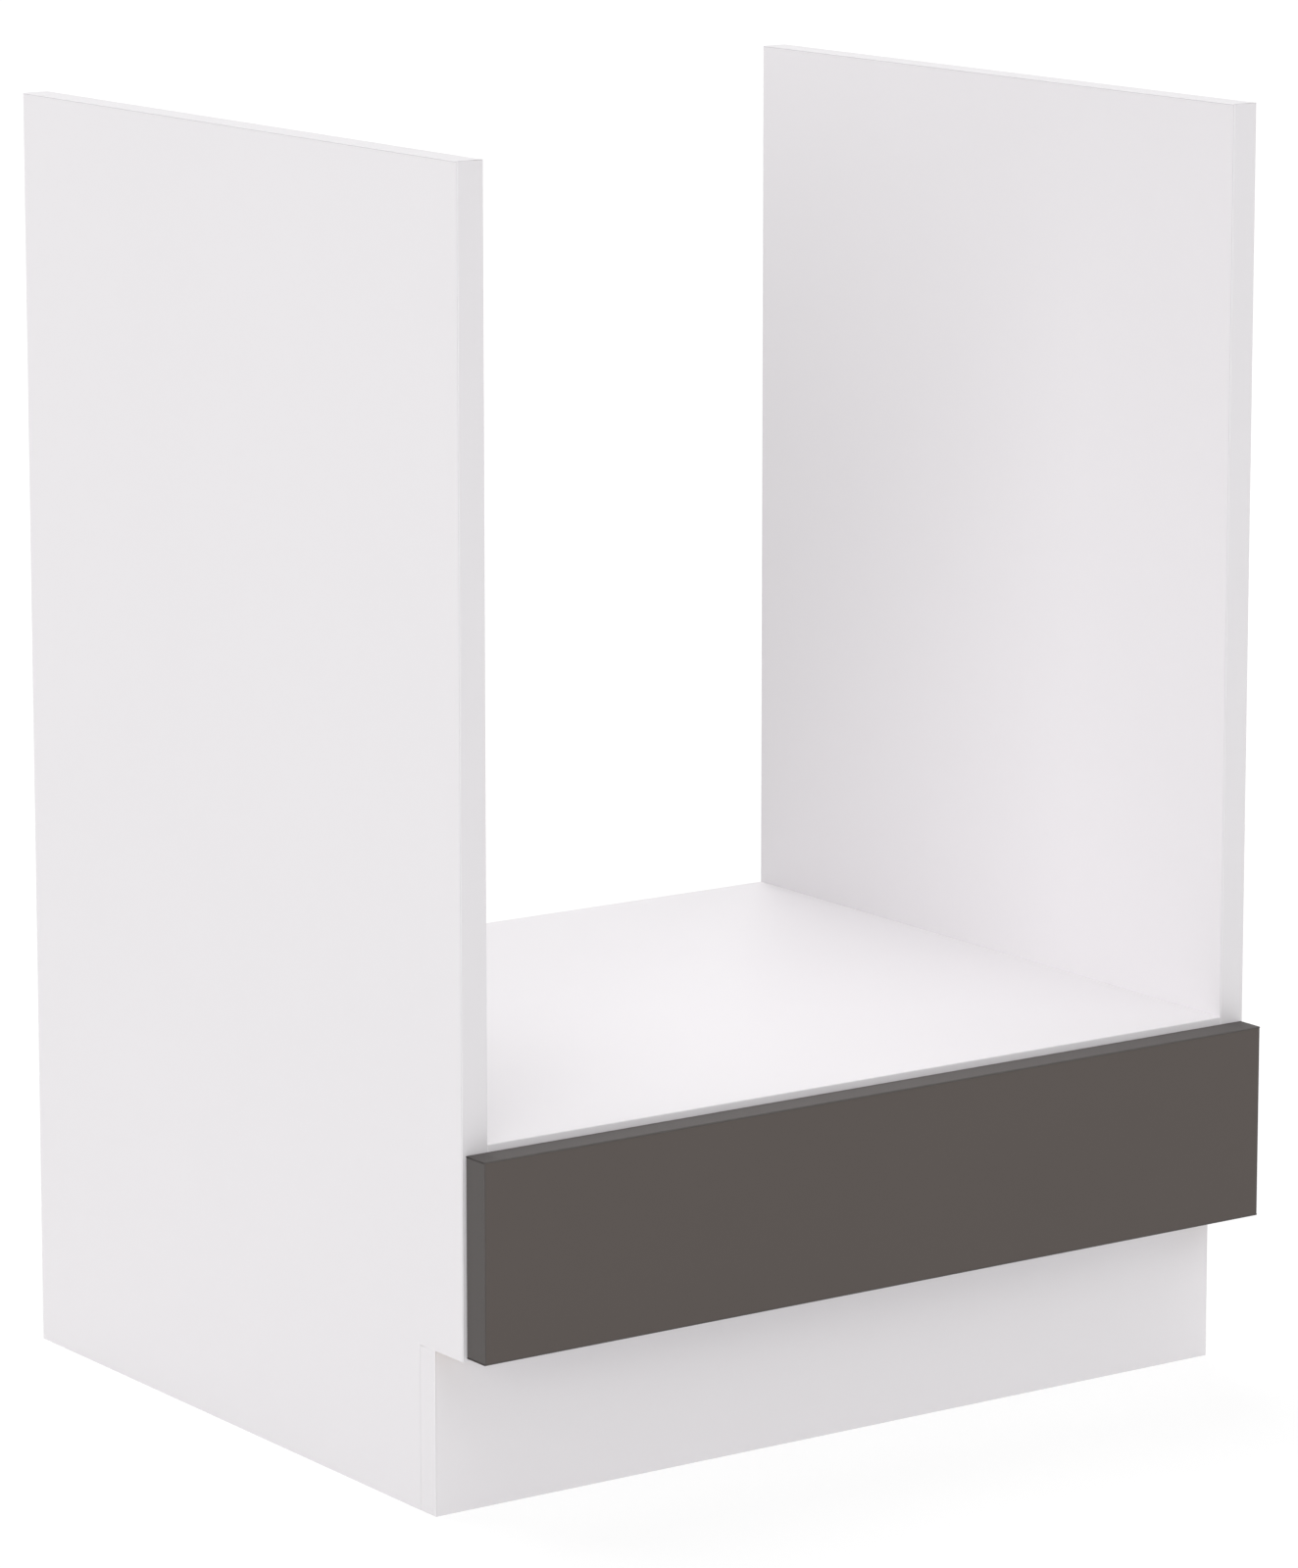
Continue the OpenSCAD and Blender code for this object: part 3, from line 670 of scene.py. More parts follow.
def start_tree(name, sizes):
    """Geometry tree with a named input for each size. Returns the tree and the sockets of its inputs."""
    tree = bpy.data.node_groups.new(name, "GeometryNodeTree")
    face = tree.interface
    face.new_socket("Geometry", in_out="OUTPUT", socket_type="NodeSocketGeometry")
    face.new_socket("Start", in_out="INPUT", socket_type="NodeSocketGeometry")
    face.new_socket("Material", in_out="INPUT", socket_type="NodeSocketMaterial")
    for key, kind in sizes.items():
        face.new_socket(key, in_out="INPUT", socket_type=SOCKET_KINDS[kind])
    return tree, add(tree, "NodeGroupInput").outputs


def end_tree(tree, given, made):
    """Makes copies real, gives them their material and closes the tree."""
    real = add(tree, "GeometryNodeRealizeInstances", {0: made})
    done = add(tree, "GeometryNodeSetMaterial", {"Geometry": real.outputs[0], "Material": given["Material"]})
    add(tree, "NodeGroupOutput", {0: done.outputs[0]})
    return tree


def moved(tree, shape, by=(0.0, 0.0, 0.0), turn=(0.0, 0.0, 0.0)):
    """A shape turned about the axes, in radians, and then moved."""
    node = add(tree, "GeometryNodeTransform", {"Geometry": shape, "Translation": by, "Rotation": turn})
    return node.outputs[0]


def half(tree, value):
    """Half of a number."""
    return times(tree, value, 0.5)


def vector(tree, *parts):
    """Vector of numbers or of sockets."""
    return add(tree, "ShaderNodeCombineXYZ", dict(enumerate(parts))).outputs[0]


def point_parts(tree):
    """Sockets of a point's X, Y and Z."""
    place = add(tree, "GeometryNodeInputPosition").outputs[0]
    return add(tree, "ShaderNodeSeparateXYZ", {0: place}).outputs


def placed(tree, shape, place):
    """The shape with every point moved to a new place."""
    return add(tree, "GeometryNodeSetPosition", {"Geometry": shape, "Position": place}).outputs[0]


# %% [markdown]
# A place is a point that carries two directions: where the piece points, and where its side looks.
# The tree turns each copy by them. A screw's recess never stops at the same angle twice, so the copies
# of a screw also get a spin about their own axis, drawn at random from a fixed seed.

# %% Copies at places


def at_places(places):
    """Mesh of points that carry a direction and a direction to one side, for a tree's copies."""
    mesh = bpy.data.meshes.new("places")
    mesh.from_pydata([place[0] for place in places], [], [])
    for number, key in ((1, "direction"), (2, "side")):
        field = mesh.attributes.new(key, "FLOAT_VECTOR", "POINT")
        for item, place in zip(field.data, places):
            item.vector = place[number]
    return mesh


def carried(tree, key):
    """Socket of a direction that the places carry."""
    node = add(tree, "GeometryNodeInputNamedAttribute", {"Name": key}, data_type="FLOAT_VECTOR")
    return node.outputs[0]


def copies(tree, given, shape, spin_seed=None):
    """A copy of the shape at each place, its Z along the place's direction, with a seeded spin."""
    axes = {0: carried(tree, "direction"), 1: carried(tree, "side")}
    turned = add(tree, "FunctionNodeAxesToRotation", axes, primary_axis="Z", secondary_axis="X").outputs[0]
    if spin_seed is not None:
        spin = add(tree, "FunctionNodeRandomValue", {2: 0.0, 3: 2 * math.pi, "Seed": spin_seed},
                   data_type="FLOAT").outputs[1]
        local = add(tree, "FunctionNodeEulerToRotation", {0: vector(tree, 0.0, 0.0, spin)}).outputs[0]
        turned = add(tree, "FunctionNodeRotateRotation", {0: turned, 1: local},
                     rotation_space="LOCAL").outputs[0]
    node = add(tree, "GeometryNodeInstanceOnPoints",
               {"Points": given["Start"], "Instance": shape, "Rotation": turned})
    return node.outputs[0]


# %% [markdown]
# A tree works as a modifier on a start mesh, which holds its places or its section. The modifier knows
# its inputs by identifiers, so these are looked up in the tree by their names. The result becomes a
# plain mesh, because the export takes only those, and edges sharper than a limit stay crisp.

# %% Growing a piece from a tree
SHARP_ANGLE = math.radians(35)


def grow(name, tree, start, material, **sizes):
    """Plain object of what a tree makes from its start mesh."""
    holder = into_scene(name + "_plan", start)
    modifier = holder.modifiers.new(name, "NODES")
    modifier.node_group = tree
    values = {key.replace("_", " "): value for key, value in sizes.items()} | {"Material": material}
    for item in tree.interface.items_tree:
        if item.in_out == "INPUT" and item.name in values:
            modifier[item.identifier] = values[item.name]
    piece = plain_mesh(holder, name)
    piece.data.shade_smooth()
    piece.data.set_sharp_from_angle(angle=SHARP_ANGLE)
    return piece


# %% [markdown]
# A screw, bolt or dowel is a long round solid, so its place is found from its box: the long side is its
# axis, and the end whose corners lie further out is its head. A cam bolt is thicker behind its head, so
# there the end nearer the middle of the cabinet is taken.

# %% Places of round pieces
END_TOLERANCE = 0.01 * MM


def rods(node, head_inwards=False):
    """Head end's middle, direction, direction to one side, and length, of each long round solid."""
    found = []
    for points in solids(node):
        low, high = box_of(points)
        size, middle = high - low, (low + high) / 2
        along = max(range(3), key=lambda i: size[i])
        reach = {}
        for end in (low[along], high[along]):
            reach[end] = max((p - middle).length for p in points if abs(p[along] - end) < END_TOLERANCE)
        head = min(reach, key=abs) if head_inwards else max(reach, key=reach.get)
        start, pointing = middle.copy(), Vector((0, 0, 0))
        start[along] = head
        pointing[along] = math.copysign(1, middle[along] - head)
        found.append((start, pointing, X if along == 2 else Z, size[along]))
    return found


bolt_places = rods("cam_bolts", head_inwards=True)
print("cam bolts:", len(bolt_places), "of", round(bolt_places[0][3] / MM, 1), "mm")

# %% [markdown]
# A countersunk screw is one cylinder whose radius changes along its length and around it. The flat
# head narrows at 45 degrees, the thread is a ridge that winds round the core, and the point tapers.
# All of this is one radius formula on the points of a mesh cylinder, so the screw is a single closed
# shell. A swept helix would leave a seam between thread and core.

# %% Shaped cylinder
AROUND = 20
# Share of the pitch that the foot of a thread takes up
THREAD_FOOT = 0.65


def shaped_cylinder(tree, length, rings, around=AROUND):
    """Cylinder of radius 1 from Z 0 up, with the sockets of a point's place and its angle in turns."""
    whole_rings = calc(tree, "ROUND", rings)
    rod = add(tree, "GeometryNodeMeshCylinder",
              {"Vertices": around, "Side Segments": whole_rings, "Radius": 1.0, "Depth": length},
              fill_type="NGON")
    lifted = moved(tree, rod.outputs[0], vector(tree, 0.0, 0.0, half(tree, length)))
    parts = point_parts(tree)
    turns = calc(tree, "DIVIDE", calc(tree, "ARCTAN2", parts[1], parts[0]), 2 * math.pi)
    return lifted, parts, turns


def ridge(tree, height, turns, pitch, root):
    """Share of the radius that a thread leaves: root in its groove and 1 on its crest."""
    phase = calc(tree, "FRACT", minus(tree, calc(tree, "DIVIDE", height, pitch), turns))
    slope = times(tree, calc(tree, "ABSOLUTE", minus(tree, phase, 0.5)), 2.0)
    return between(tree, slope, 1 - THREAD_FOOT, 1.0, root, 1.0)


def with_radius(tree, shape, parts, radius):
    """The cylinder with its points moved out to a radius."""
    out = [times(tree, parts[i], radius) for i in (0, 1)]
    return placed(tree, shape, vector(tree, *out, parts[2]))


# %% [markdown]
# The cross recess for the driver is cut from the head with two crossed blades. Each blade is a cube
# whose lower points draw in, so that the recess narrows towards its bottom as a real one does.

# %% Cross recess
BLADE_TIP = 0.4


def cross_recess(tree, width, thickness, depth):
    """Two crossed blades, narrower towards their tips, which cut the recess for a driver."""
    size = vector(tree, width, thickness, times(tree, depth, 2.0))
    block = add(tree, "GeometryNodeMeshCube", {"Size": size}).outputs[0]
    x, y, height = point_parts(tree)
    share = between(tree, height, 0.0, depth, 1.0, BLADE_TIP)
    blade = placed(tree, block, vector(tree, times(tree, x, share), y, height))
    return [blade, moved(tree, blade, turn=(0.0, 0.0, math.pi / 2))]


def cut(tree, shape, cutters):
    """The shape without the cutters."""
    node = add(tree, "GeometryNodeMeshBoolean", {0: shape, 1: cutters},
               operation="DIFFERENCE", solver="EXACT")
    return node.outputs[0]


# %% [markdown]
# Three kinds of screw hold this cabinet together: short ones for the runners and the angles, longer ones
# for the front, and long ones at the corners of the drawer's box. They differ in their sizes alone.

# %% Screws
RINGS_A_TURN = 8
RIM = 0.05
THREAD_ROOT = 0.66
POINT_LENGTH = 2.2
POINT_END = 0.06
# Width, thickness and depth of the recess, in shares of the head's radius
RECESS = (1.15, 0.24, 0.55)


def screw_tree():
    """Screw with rim and recess in shares of the head's radius, and root and point of the shank's."""
    tree, given = start_tree("screw", {"Length": float, "Head radius": float, "Shank radius": float,
                                       "Pitch": float, "Seed": int})
    length, pitch = given["Length"], given["Pitch"]
    head_radius, shank = given["Head radius"], given["Shank radius"]
    rings = times(tree, calc(tree, "DIVIDE", length, pitch), RINGS_A_TURN)
    shape, parts, turns = shaped_cylinder(tree, length, rings)
    cone = minus(tree, times(tree, head_radius, 1 + RIM), parts[2])
    head = calc(tree, "MINIMUM", head_radius, cone)
    thread = times(tree, shank, ridge(tree, parts[2], turns, pitch, THREAD_ROOT))
    point_start = minus(tree, length, times(tree, shank, POINT_LENGTH))
    taper = between(tree, parts[2], point_start, length, 1.0, POINT_END)
    radius = times(tree, calc(tree, "MAXIMUM", head, thread), taper)
    blades = cross_recess(tree, *(times(tree, head_radius, share) for share in RECESS))
    screw = cut(tree, with_radius(tree, shape, parts, radius), blades)
    return end_tree(tree, given, copies(tree, given, screw, given["Seed"]))


# Body, head radius, shank radius and pitch, in millimetres
SCREWS = {
    "bracket_screws": ("carcass", 3.2, 1.75, 1.3),
    "cabinet_runner_screws": ("carcass", 3.2, 1.75, 1.3),
    "drawer_runner_screws": ("drawer", 3.2, 1.75, 1.3),
    "front_screws": ("drawer", 4.0, 2.25, 2.0),
    "box_screws": ("drawer", 4.0, 2.25, 2.2),
}
cross_screw = screw_tree()
for seed, (node, (body, head, shank, pitch)) in enumerate(SCREWS.items()):
    places = rods(node)
    screws = grow(node.replace("screws", "cross_screws"), cross_screw, at_places(places), screw_zinc,
                  Length=places[0][3], Head_radius=head * MM, Shank_radius=shank * MM, Pitch=pitch * MM,
                  Seed=seed)
    hand_over(screws, body, "zinc_steel", screw_zinc, node)

# %% [markdown]
# A cam bolt is turned from one bar: a round head that the cam hooks behind, a thin neck, a collar that
# centres it in the board's end, and a thread that grips the side panel. Its radius again follows from
# the height, here in steps.

# %% Cam bolts
BOLT_RING = 0.3 * MM
BOLT_ROOT = 0.72
# All measured from the head's end, in millimetres
BOLT = {"Head_length": 3, "Head_radius": 3, "Neck_end": 9.5, "Neck_radius": 1.8, "Collar_end": 35.5,
        "Collar_radius": 3.5, "Thread_radius": 2.5, "Pitch": 1.8}


def bolt_tree():
    """Bolt whose radius is picked by the height: head, neck, collar and thread."""
    tree, given = start_tree("cam_bolt", {key.replace("_", " "): float for key in ("Length", *BOLT)})
    rings = calc(tree, "DIVIDE", given["Length"], BOLT_RING)
    shape, parts, turns = shaped_cylinder(tree, given["Length"], rings)
    height = parts[2]
    thread = ridge(tree, height, turns, given["Pitch"], BOLT_ROOT)
    radius = times(tree, given["Thread radius"], thread)
    for end, size in (("Collar end", "Collar radius"), ("Neck end", "Neck radius")):
        radius = pick(tree, calc(tree, "LESS_THAN", height, given[end]), given[size], radius)
    from_middle = minus(tree, calc(tree, "DIVIDE", height, given["Head length"]), 0.5)
    bulge = calc(tree, "SQRT", minus(tree, 1.0, times(tree, from_middle, from_middle)))
    head = times(tree, given["Head radius"], bulge)
    radius = pick(tree, calc(tree, "LESS_THAN", height, given["Head length"]), head, radius)
    return end_tree(tree, given, copies(tree, given, with_radius(tree, shape, parts, radius)))


bolts = grow("cam_bolts_turned", bolt_tree(), at_places(bolt_places), screw_zinc,
             Length=bolt_places[0][3], **{key: value * MM for key, value in BOLT.items()})
hand_over(bolts, "carcass", "zinc_steel", screw_zinc, "cam_bolts")

# %% [markdown]
# A cam lock is a die-cast zinc drum. The bolt's neck enters it from the panel's side, and its head
# rests in a wider bore across the drum. A cross slot in the flush underside takes the driver. The drum
# is again a shaped cylinder, with chamfered rims, from which the bores and the slot are cut. It is
# turned by half a step first, so that no corner of a cutter lies on one of its edges.

# %% Cam locks
CAM_AROUND = 48
CAM_CHAMFER = 0.4 * MM
# Width, thickness and depth of the cross slot
CAM_SLOT = (7 * MM, 1.4 * MM, 1.6 * MM)
BORE_AROUND = 32
HEAD_BORE_RADIUS = 3.3 * MM
NECK_BORE_RADIUS = 2.1 * MM
HEAD_BORE_LENGTH = 6 * MM
NECK_BORE_LENGTH = 12 * MM


def from_end(tree, height, length):
    """Distance of a height from the nearer end of a length."""
    return calc(tree, "MINIMUM", height, minus(tree, length, height))


def lying_rod(tree, radius, length, middle):
    """Cylinder along X."""
    rod = add(tree, "GeometryNodeMeshCylinder", {"Vertices": BORE_AROUND, "Radius": radius, "Depth": length})
    return moved(tree, rod.outputs[0], middle, (0.0, math.pi / 2, 0.0))


def cam_tree():
    """Drum with its bores along X at a height, the neck's bore towards -X."""
    tree, given = start_tree("cam_lock", {"Radius": float, "Height": float, "Head bore radius": float,
                                          "Neck bore radius": float, "Bore height": float})
    rings = calc(tree, "DIVIDE", given["Height"], CAM_CHAMFER)
    shape, parts, _ = shaped_cylinder(tree, given["Height"], rings, CAM_AROUND)
    near = from_end(tree, parts[2], given["Height"])
    step_in = between(tree, near, 0.0, CAM_CHAMFER, -CAM_CHAMFER, 0.0)
    radius = calc(tree, "ADD", given["Radius"], step_in)
    drum = with_radius(tree, shape, parts, radius)
    drum = moved(tree, drum, turn=(0.0, 0.0, math.pi / CAM_AROUND))
    head_place = vector(tree, 0.0, 0.0, given["Bore height"])
    neck_place = vector(tree, -NECK_BORE_LENGTH / 2, 0.0, given["Bore height"])
    cutters = [lying_rod(tree, given["Head bore radius"], HEAD_BORE_LENGTH, head_place),
               lying_rod(tree, given["Neck bore radius"], NECK_BORE_LENGTH, neck_place)]
    cutters += cross_recess(tree, *CAM_SLOT)
    return end_tree(tree, given, copies(tree, given, cut(tree, drum, cutters)))


def seat(box, axis):
    """Middle of the lowest side of a box along an axis."""
    low, high = box
    middle = (low + high) / 2
    middle[axis] = low[axis]
    return middle


cam_boxes = boxes_of("cam_locks")
cam_places = [(place, Z, -outwards(place)) for place in (seat(box, 2) for box in cam_boxes)]
cam_size = cam_boxes[0][1] - cam_boxes[0][0]
bore_height = min(start.z for start, *rest in bolt_places) - min(low.z for low, high in cam_boxes)
cams = grow("cam_locks_cast", cam_tree(), at_places(cam_places), cast_zinc, Radius=cam_size.x / 2,
            Height=cam_size.z, Head_bore_radius=HEAD_BORE_RADIUS, Neck_bore_radius=NECK_BORE_RADIUS,
            Bore_height=bore_height)
hand_over(cams, "carcass", "zinc_steel", cast_zinc, "cam_locks")

# %% [markdown]
# A dowel is beech, with shallow flutes that let the glue run along it, and chamfered ends that find the
# hole. The flutes are a wave of the radius around the axis.

# %% Dowels
FLUTES = 16
FLUTE_POINTS = 4
FLUTE_ROOT = 0.95
DOWEL_RADIUS = 4 * MM
DOWEL_CHAMFER = 1 * MM


def dowel_tree():
    """Fluted dowel. Its rings lie a chamfer apart, so that one ends each chamfer."""
    tree, given = start_tree("fluted_dowel", {"Length": float, "Radius": float, "Chamfer": float})
    rings = calc(tree, "DIVIDE", given["Length"], given["Chamfer"])
    shape, parts, turns = shaped_cylinder(tree, given["Length"], rings, FLUTES * FLUTE_POINTS)
    wave = calc(tree, "COSINE", times(tree, turns, 2 * math.pi * FLUTES))
    fluted = times(tree, given["Radius"], between(tree, wave, -1.0, 1.0, FLUTE_ROOT, 1.0))
    near = calc(tree, "MINIMUM", from_end(tree, parts[2], given["Length"]), given["Chamfer"])
    radius = minus(tree, fluted, minus(tree, given["Chamfer"], near))
    return end_tree(tree, given, copies(tree, given, with_radius(tree, shape, parts, radius)))


dowel_places = rods("carcass_dowels")
dowels = grow("fluted_dowels", dowel_tree(), at_places(dowel_places), beech,
              Length=dowel_places[0][3], Radius=DOWEL_RADIUS, Chamfer=DOWEL_CHAMFER)
hand_over(dowels, "carcass", "beech_dowel", beech, "carcass_dowels")

# %% [markdown]
# The runners roll on hardened balls, two rows in each cage. An icosphere is as round as a ball needs to
# be at this size, with no pinched poles.

# %% Balls
BALL_SUBDIVISIONS = 3


def ball_tree():
    """Ball round each place."""
    tree, given = start_tree("ball", {"Radius": float})
    ball = add(tree, "GeometryNodeMeshIcoSphere",
               {"Radius": given["Radius"], "Subdivisions": BALL_SUBDIVISIONS})
    return end_tree(tree, given, copies(tree, given, ball.outputs[0]))


one_ball = ball_tree()
for node, body in (("outer_balls", "outer_cages"), ("inner_balls", "inner_cages")):
    boxes = boxes_of(node)
    radius = max(boxes[0][1] - boxes[0][0]) / 2
    balls = grow(node.replace("balls", "row_balls"), one_ball,
                 at_places([((low + high) / 2, Z, X) for low, high in boxes]), ball_steel, Radius=radius)
    hand_over(balls, body, "zinc_steel", ball_steel, node)

# %% [markdown]
# Clear self-adhesive pads sit behind the corners of the drawer front, so that it closes without a
# knock. They are shallow domes. The fill of a cylinder's end is a fan of rings, whose points are
# lowered towards the rim.

# %% Bumper pads
PAD_AROUND = 32
PAD_RINGS = 6
RIM_HEIGHT = 0.45


def pad_tree():
    """Disc whose height falls with the square of the distance from its middle."""
    tree, given = start_tree("bumper_pad", {"Radius": float, "Height": float})
    disc = add(tree, "GeometryNodeMeshCylinder",
               {"Vertices": PAD_AROUND, "Side Segments": 1, "Fill Segments": PAD_RINGS,
                "Radius": given["Radius"], "Depth": given["Height"]}, fill_type="TRIANGLE_FAN")
    lifted = moved(tree, disc.outputs[0], vector(tree, 0.0, 0.0, half(tree, given["Height"])))
    x, y, height = point_parts(tree)
    out = [calc(tree, "DIVIDE", part, given["Radius"]) for part in (x, y)]
    square = calc(tree, "ADD", *(times(tree, part, part) for part in out))
    fallen = times(tree, height, between(tree, square, 0.0, 1.0, 1.0, RIM_HEIGHT))
    dome = placed(tree, lifted, vector(tree, x, y, fallen))
    return end_tree(tree, given, copies(tree, given, dome))


pad_boxes = boxes_of("front_bumpers")
pad_places = [(seat(box, 1), Y, Z) for box in pad_boxes]
pad_size = pad_boxes[0][1] - pad_boxes[0][0]
pads = grow("bumper_pads", pad_tree(), at_places(pad_places), clear_pad,
            Radius=pad_size.x / 2, Height=pad_size.y)
hand_over(pads, "drawer", "clear_pad", clear_pad, "front_bumpers")

# %% [markdown]
# The most skilled piece is the telescopic runner: three members bent from one thickness of sheet, whose
# curled edges are the races that the balls run in. Each section follows a rule. Its middle line is a
# chain of bends that touch, most of them concentric with a ball, and the sheet lies half its thickness
# on either side. The rule is the same as in the construction, with finer steps, so that the curled
# edges shade smoothly. Sections are drawn in millimetres and degrees, from the side panel inwards and
# up from the runner's middle.

# %% Bends of the runner members
RUNNER_H = 45.5
SHEET = 1.2
FOLD = 1.0
CORNER = SHEET / 2 + FOLD / 2
RACE_1, RACE_2 = 2.75, 2.5
# Angles at which a race begins (RISE, LEAN) and ends (LIP, HORN)
RISE, LEAN, LIP, HORN = 30, 45, 25, 30
MIDDLE_WEB, DRAWER_WEB = 3.4, 12.1


def ray(radius, angle):
    """Step of a length in the direction of an angle in degrees."""
    return Vector((math.cos(math.radians(angle)), math.sin(math.radians(angle)))) * radius


BALL_1 = Vector((MIDDLE_WEB + FOLD + ray(RACE_1 + FOLD, LEAN).x, RUNNER_H / 2 - SHEET / 2 - RACE_1))
ball_2_x = DRAWER_WEB - FOLD - ray(RACE_2 + FOLD, LEAN).x
BALL_2 = Vector((ball_2_x, BALL_1.y - math.sqrt((RACE_1 + RACE_2) ** 2 - (ball_2_x - BALL_1.x) ** 2)))
WAVE = math.degrees(math.atan2(BALL_2.y - BALL_1.y, BALL_2.x - BALL_1.x))
rise_middle = BALL_1 + ray(RACE_1 + FOLD, 90 + RISE)
# Middle, radius, first angle and last angle of each bend, from the web to the lip
BENDS = {
    "cabinet": [
        (Vector((SHEET / 2 + CORNER, rise_middle.y - FOLD - CORNER)), CORNER, 180, 90),
        (rise_middle, FOLD, -90, RISE - 90),
        (BALL_1, RACE_1, 90 + RISE, LIP),
    ],
    "middle": [
        (BALL_1 + ray(RACE_1 + FOLD, 180 + LEAN), FOLD, 180, LEAN),
        (BALL_1, RACE_1, 180 + LEAN, 360 + WAVE),
        (BALL_2, RACE_2, 180 + WAVE, HORN),
    ],
    "drawer": [
        (BALL_2 + ray(RACE_2 + FOLD, -LEAN), FOLD, 0, 180 - LEAN),
        (BALL_2, RACE_2, 360 - LEAN, 180 + LIP),
    ],
}
print("ball rows", round((BALL_2 - BALL_1).length, 2), "mm apart")

# %% [markdown]
# Both faces of the sheet follow the same bends, one a little inside and one a little outside. The upper
# half of a section is mirrored for the lower half, and the four lines together are the outline of one
# face. That face lies at the runner's front end, and looks along it.

# %% Section of a runner member
BEND_STEP = 6
SHORTEST_SIDE = 0.001
wall_low, wall_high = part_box("cabinet_runner_right")
WALL_X = wall_high.x
RUNNER_FRONT = wall_low.y
RUNNER_Z = (wall_low.z + wall_high.z) / 2


def sheet_side(bends, offset):
    """Points of one face of the sheet, from the web to the lip."""
    points = []
    for middle, radius, start, end in bends:
        turn = end - start
        steps = math.ceil(abs(turn) / BEND_STEP)
        for i in range(steps + 1):
            point = middle + ray(radius - math.copysign(offset, turn * offset), start + turn * i / steps)
            if not points or (point - points[-1]).length > SHORTEST_SIDE:
                points.append(point)
    return points


def section(kind, side):
    """Outline of a member in metres, as corners of a face that looks along +Y. side is -1 on the left."""
    left, right = (sheet_side(BENDS[kind], offset) for offset in (SHEET / 2, -SHEET / 2))
    below_left, below_right = ([Vector((p.x, -p.y)) for p in points] for points in (left, right))
    outline = below_left[::-1] + left + right[::-1] + below_right
    if side < 0:
        outline.reverse()
    return [Vector((side * (WALL_X - p.x * MM), RUNNER_FRONT, RUNNER_Z + p.y * MM)) for p in outline]


def one_face(corners):
    """Mesh of a single face, for a tree that sweeps it."""
    mesh = bpy.data.meshes.new("section")
    mesh.from_pydata(corners, [], [list(range(len(corners)))])
    return mesh


print("corners:", {kind: len(section(kind, 1)) for kind in BENDS})

# %% [markdown]
# The holes and slots in a member's web are cut with rods. A slot's rod is a round one, pulled apart
# along the runner: the half of its points that lie forward moves forward, and the rest back. The holes
# of a row are as far apart as the screws in them, so that distance is measured from the screws.

# %% Cutters for holes and slots
CUTTER_LENGTH = 6 * SHEET * MM
HOLES, SLOTS = 3, 2
screw_ys = sorted({round(start.y, 5) for start, *rest in rods("cabinet_runner_screws")})
FIRST_HOLE, HOLE_STEP = screw_ys[0], screw_ys[1] - screw_ys[0]


def slot_cutter(tree, width, length):
    """Rod along X whose section is as wide as width and as long, along Y, as length."""
    rod = lying_rod(tree, half(tree, width), CUTTER_LENGTH, (0.0, 0.0, 0.0))
    x, y, height = point_parts(tree)
    stretch = half(tree, minus(tree, length, width))
    end = calc(tree, "SIGN", calc(tree, "ADD", y, SAME_POINT))
    pulled = calc(tree, "ADD", y, times(tree, end, stretch))
    return placed(tree, rod, vector(tree, x, pulled, height))


def row(tree, count, first, step, shape):
    """Real copies of a shape, evenly along Y from the first."""
    start, offset = vector(tree, *first), vector(tree, 0.0, step, 0.0)
    line = add(tree, "GeometryNodeMeshLine", {"Count": count, "Start Location": start, "Offset": offset})
    made = add(tree, "GeometryNodeInstanceOnPoints", {"Points": line.outputs[0], "Instance": shape})
    return add(tree, "GeometryNodeRealizeInstances", {0: made.outputs[0]}).outputs[0]


print("holes", round(HOLE_STEP / MM, 1), "mm apart")

# %% [markdown]
# The tree sweeps a section along the runner, then cuts the screw holes and the slots through its web.
# Extruding a face leaves its first end open, so the start face is flipped and joined to close it. The
# middle member has wide holes in the same places, through which a screwdriver reaches the screws of
# the cabinet member. One tree serves all six members, and the right ones start from a mirrored section
# whose corners run the other way round, so that every face still points outwards.

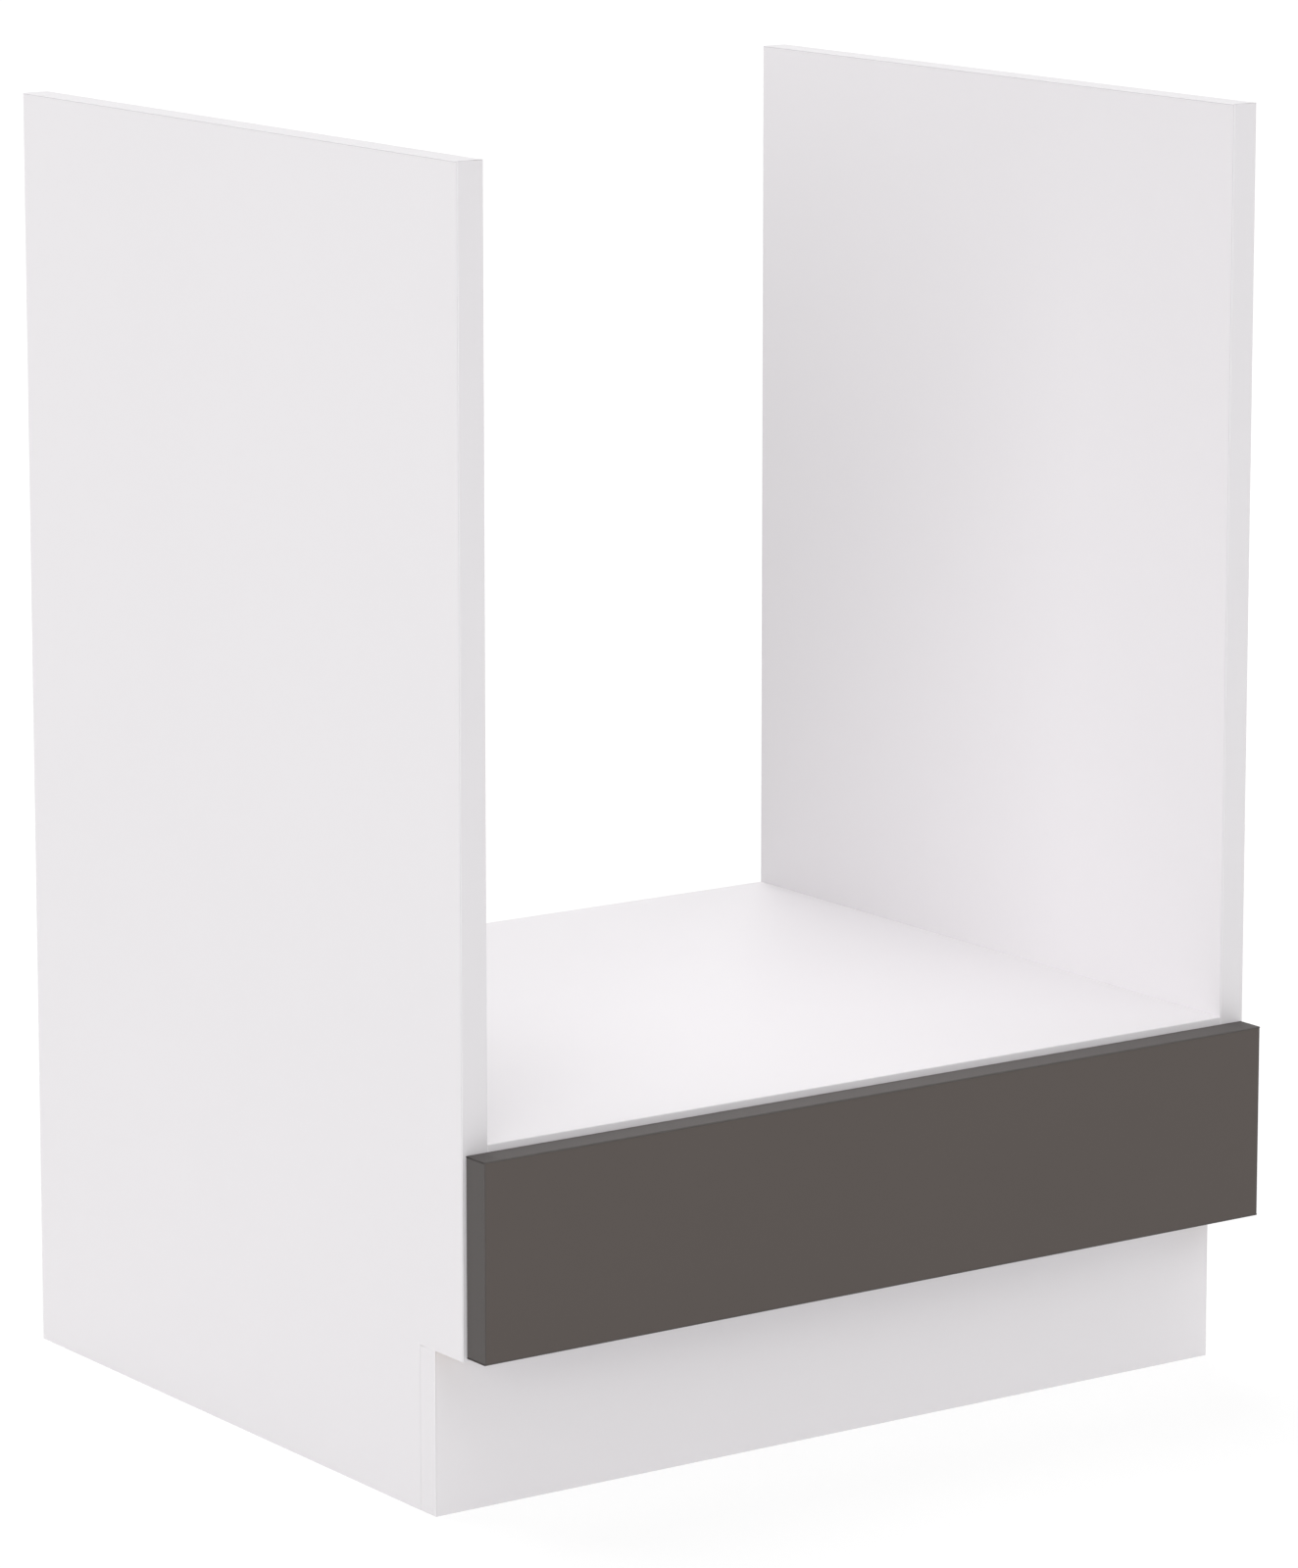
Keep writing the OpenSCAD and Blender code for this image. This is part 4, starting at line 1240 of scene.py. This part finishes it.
# %% Runner members
# Body, place of the web's middle, hole width, slot width and slot length, in millimetres
MEMBERS = {
    "cabinet": ("carcass", SHEET / 2, 6.6, 5, 16),
    "middle": ("middle_members", MIDDLE_WEB, 12, 12, 32),
    "drawer": ("drawer", DRAWER_WEB, 6.6, 5, 16),
}


def member_tree():
    """Sweep of the start face along Y, with a row of holes and a row of slots between them."""
    sizes = ["Length", "Web X", "Middle Z", "First hole Y", "Hole step", "Hole width", "Slot width",
             "Slot length"]
    tree, given = start_tree("runner_member", {size: float for size in sizes})
    swept = add(tree, "GeometryNodeExtrudeMesh",
                {"Mesh": given["Start"], "Offset": vector(tree, 0.0, given["Length"], 0.0),
                 "Offset Scale": 1.0, "Individual": False}, mode="FACES")
    front = add(tree, "GeometryNodeFlipFaces", {"Mesh": given["Start"]})
    both = add(tree, "GeometryNodeJoinGeometry", {0: [swept.outputs[0], front.outputs[0]]})
    bar = add(tree, "GeometryNodeMergeByDistance", {"Geometry": both.outputs[0], "Distance": SAME_POINT})
    step, web, middle = given["Hole step"], given["Web X"], given["Middle Z"]
    first_slot = calc(tree, "ADD", given["First hole Y"], half(tree, step))
    hole = slot_cutter(tree, given["Hole width"], given["Hole width"])
    slot = slot_cutter(tree, given["Slot width"], given["Slot length"])
    holes = row(tree, HOLES, (web, given["First hole Y"], middle), step, hole)
    slots = row(tree, SLOTS, (web, first_slot, middle), step, slot)
    return end_tree(tree, given, cut(tree, bar.outputs[0], [holes, slots]))


def runner_member(kind, side, tree):
    """One bent member, on the left where side is -1 and on the right where it is 1."""
    body, web, hole, slot_width, slot_length = MEMBERS[kind]
    node = kind + "_runner_" + ("left" if side < 0 else "right")
    low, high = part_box(node)
    member = grow(node + "_member", tree, one_face(section(kind, side)), rolled_zinc, Length=high.y - low.y,
                  Web_X=side * (WALL_X - web * MM), Middle_Z=RUNNER_Z, First_hole_Y=FIRST_HOLE,
                  Hole_step=HOLE_STEP, Hole_width=hole * MM, Slot_width=slot_width * MM,
                  Slot_length=slot_length * MM)
    hand_over(member, body, "zinc_steel", rolled_zinc, node)


member_rule = member_tree()
for kind in MEMBERS:
    for side in (-1, 1):
        runner_member(kind, side, member_rule)
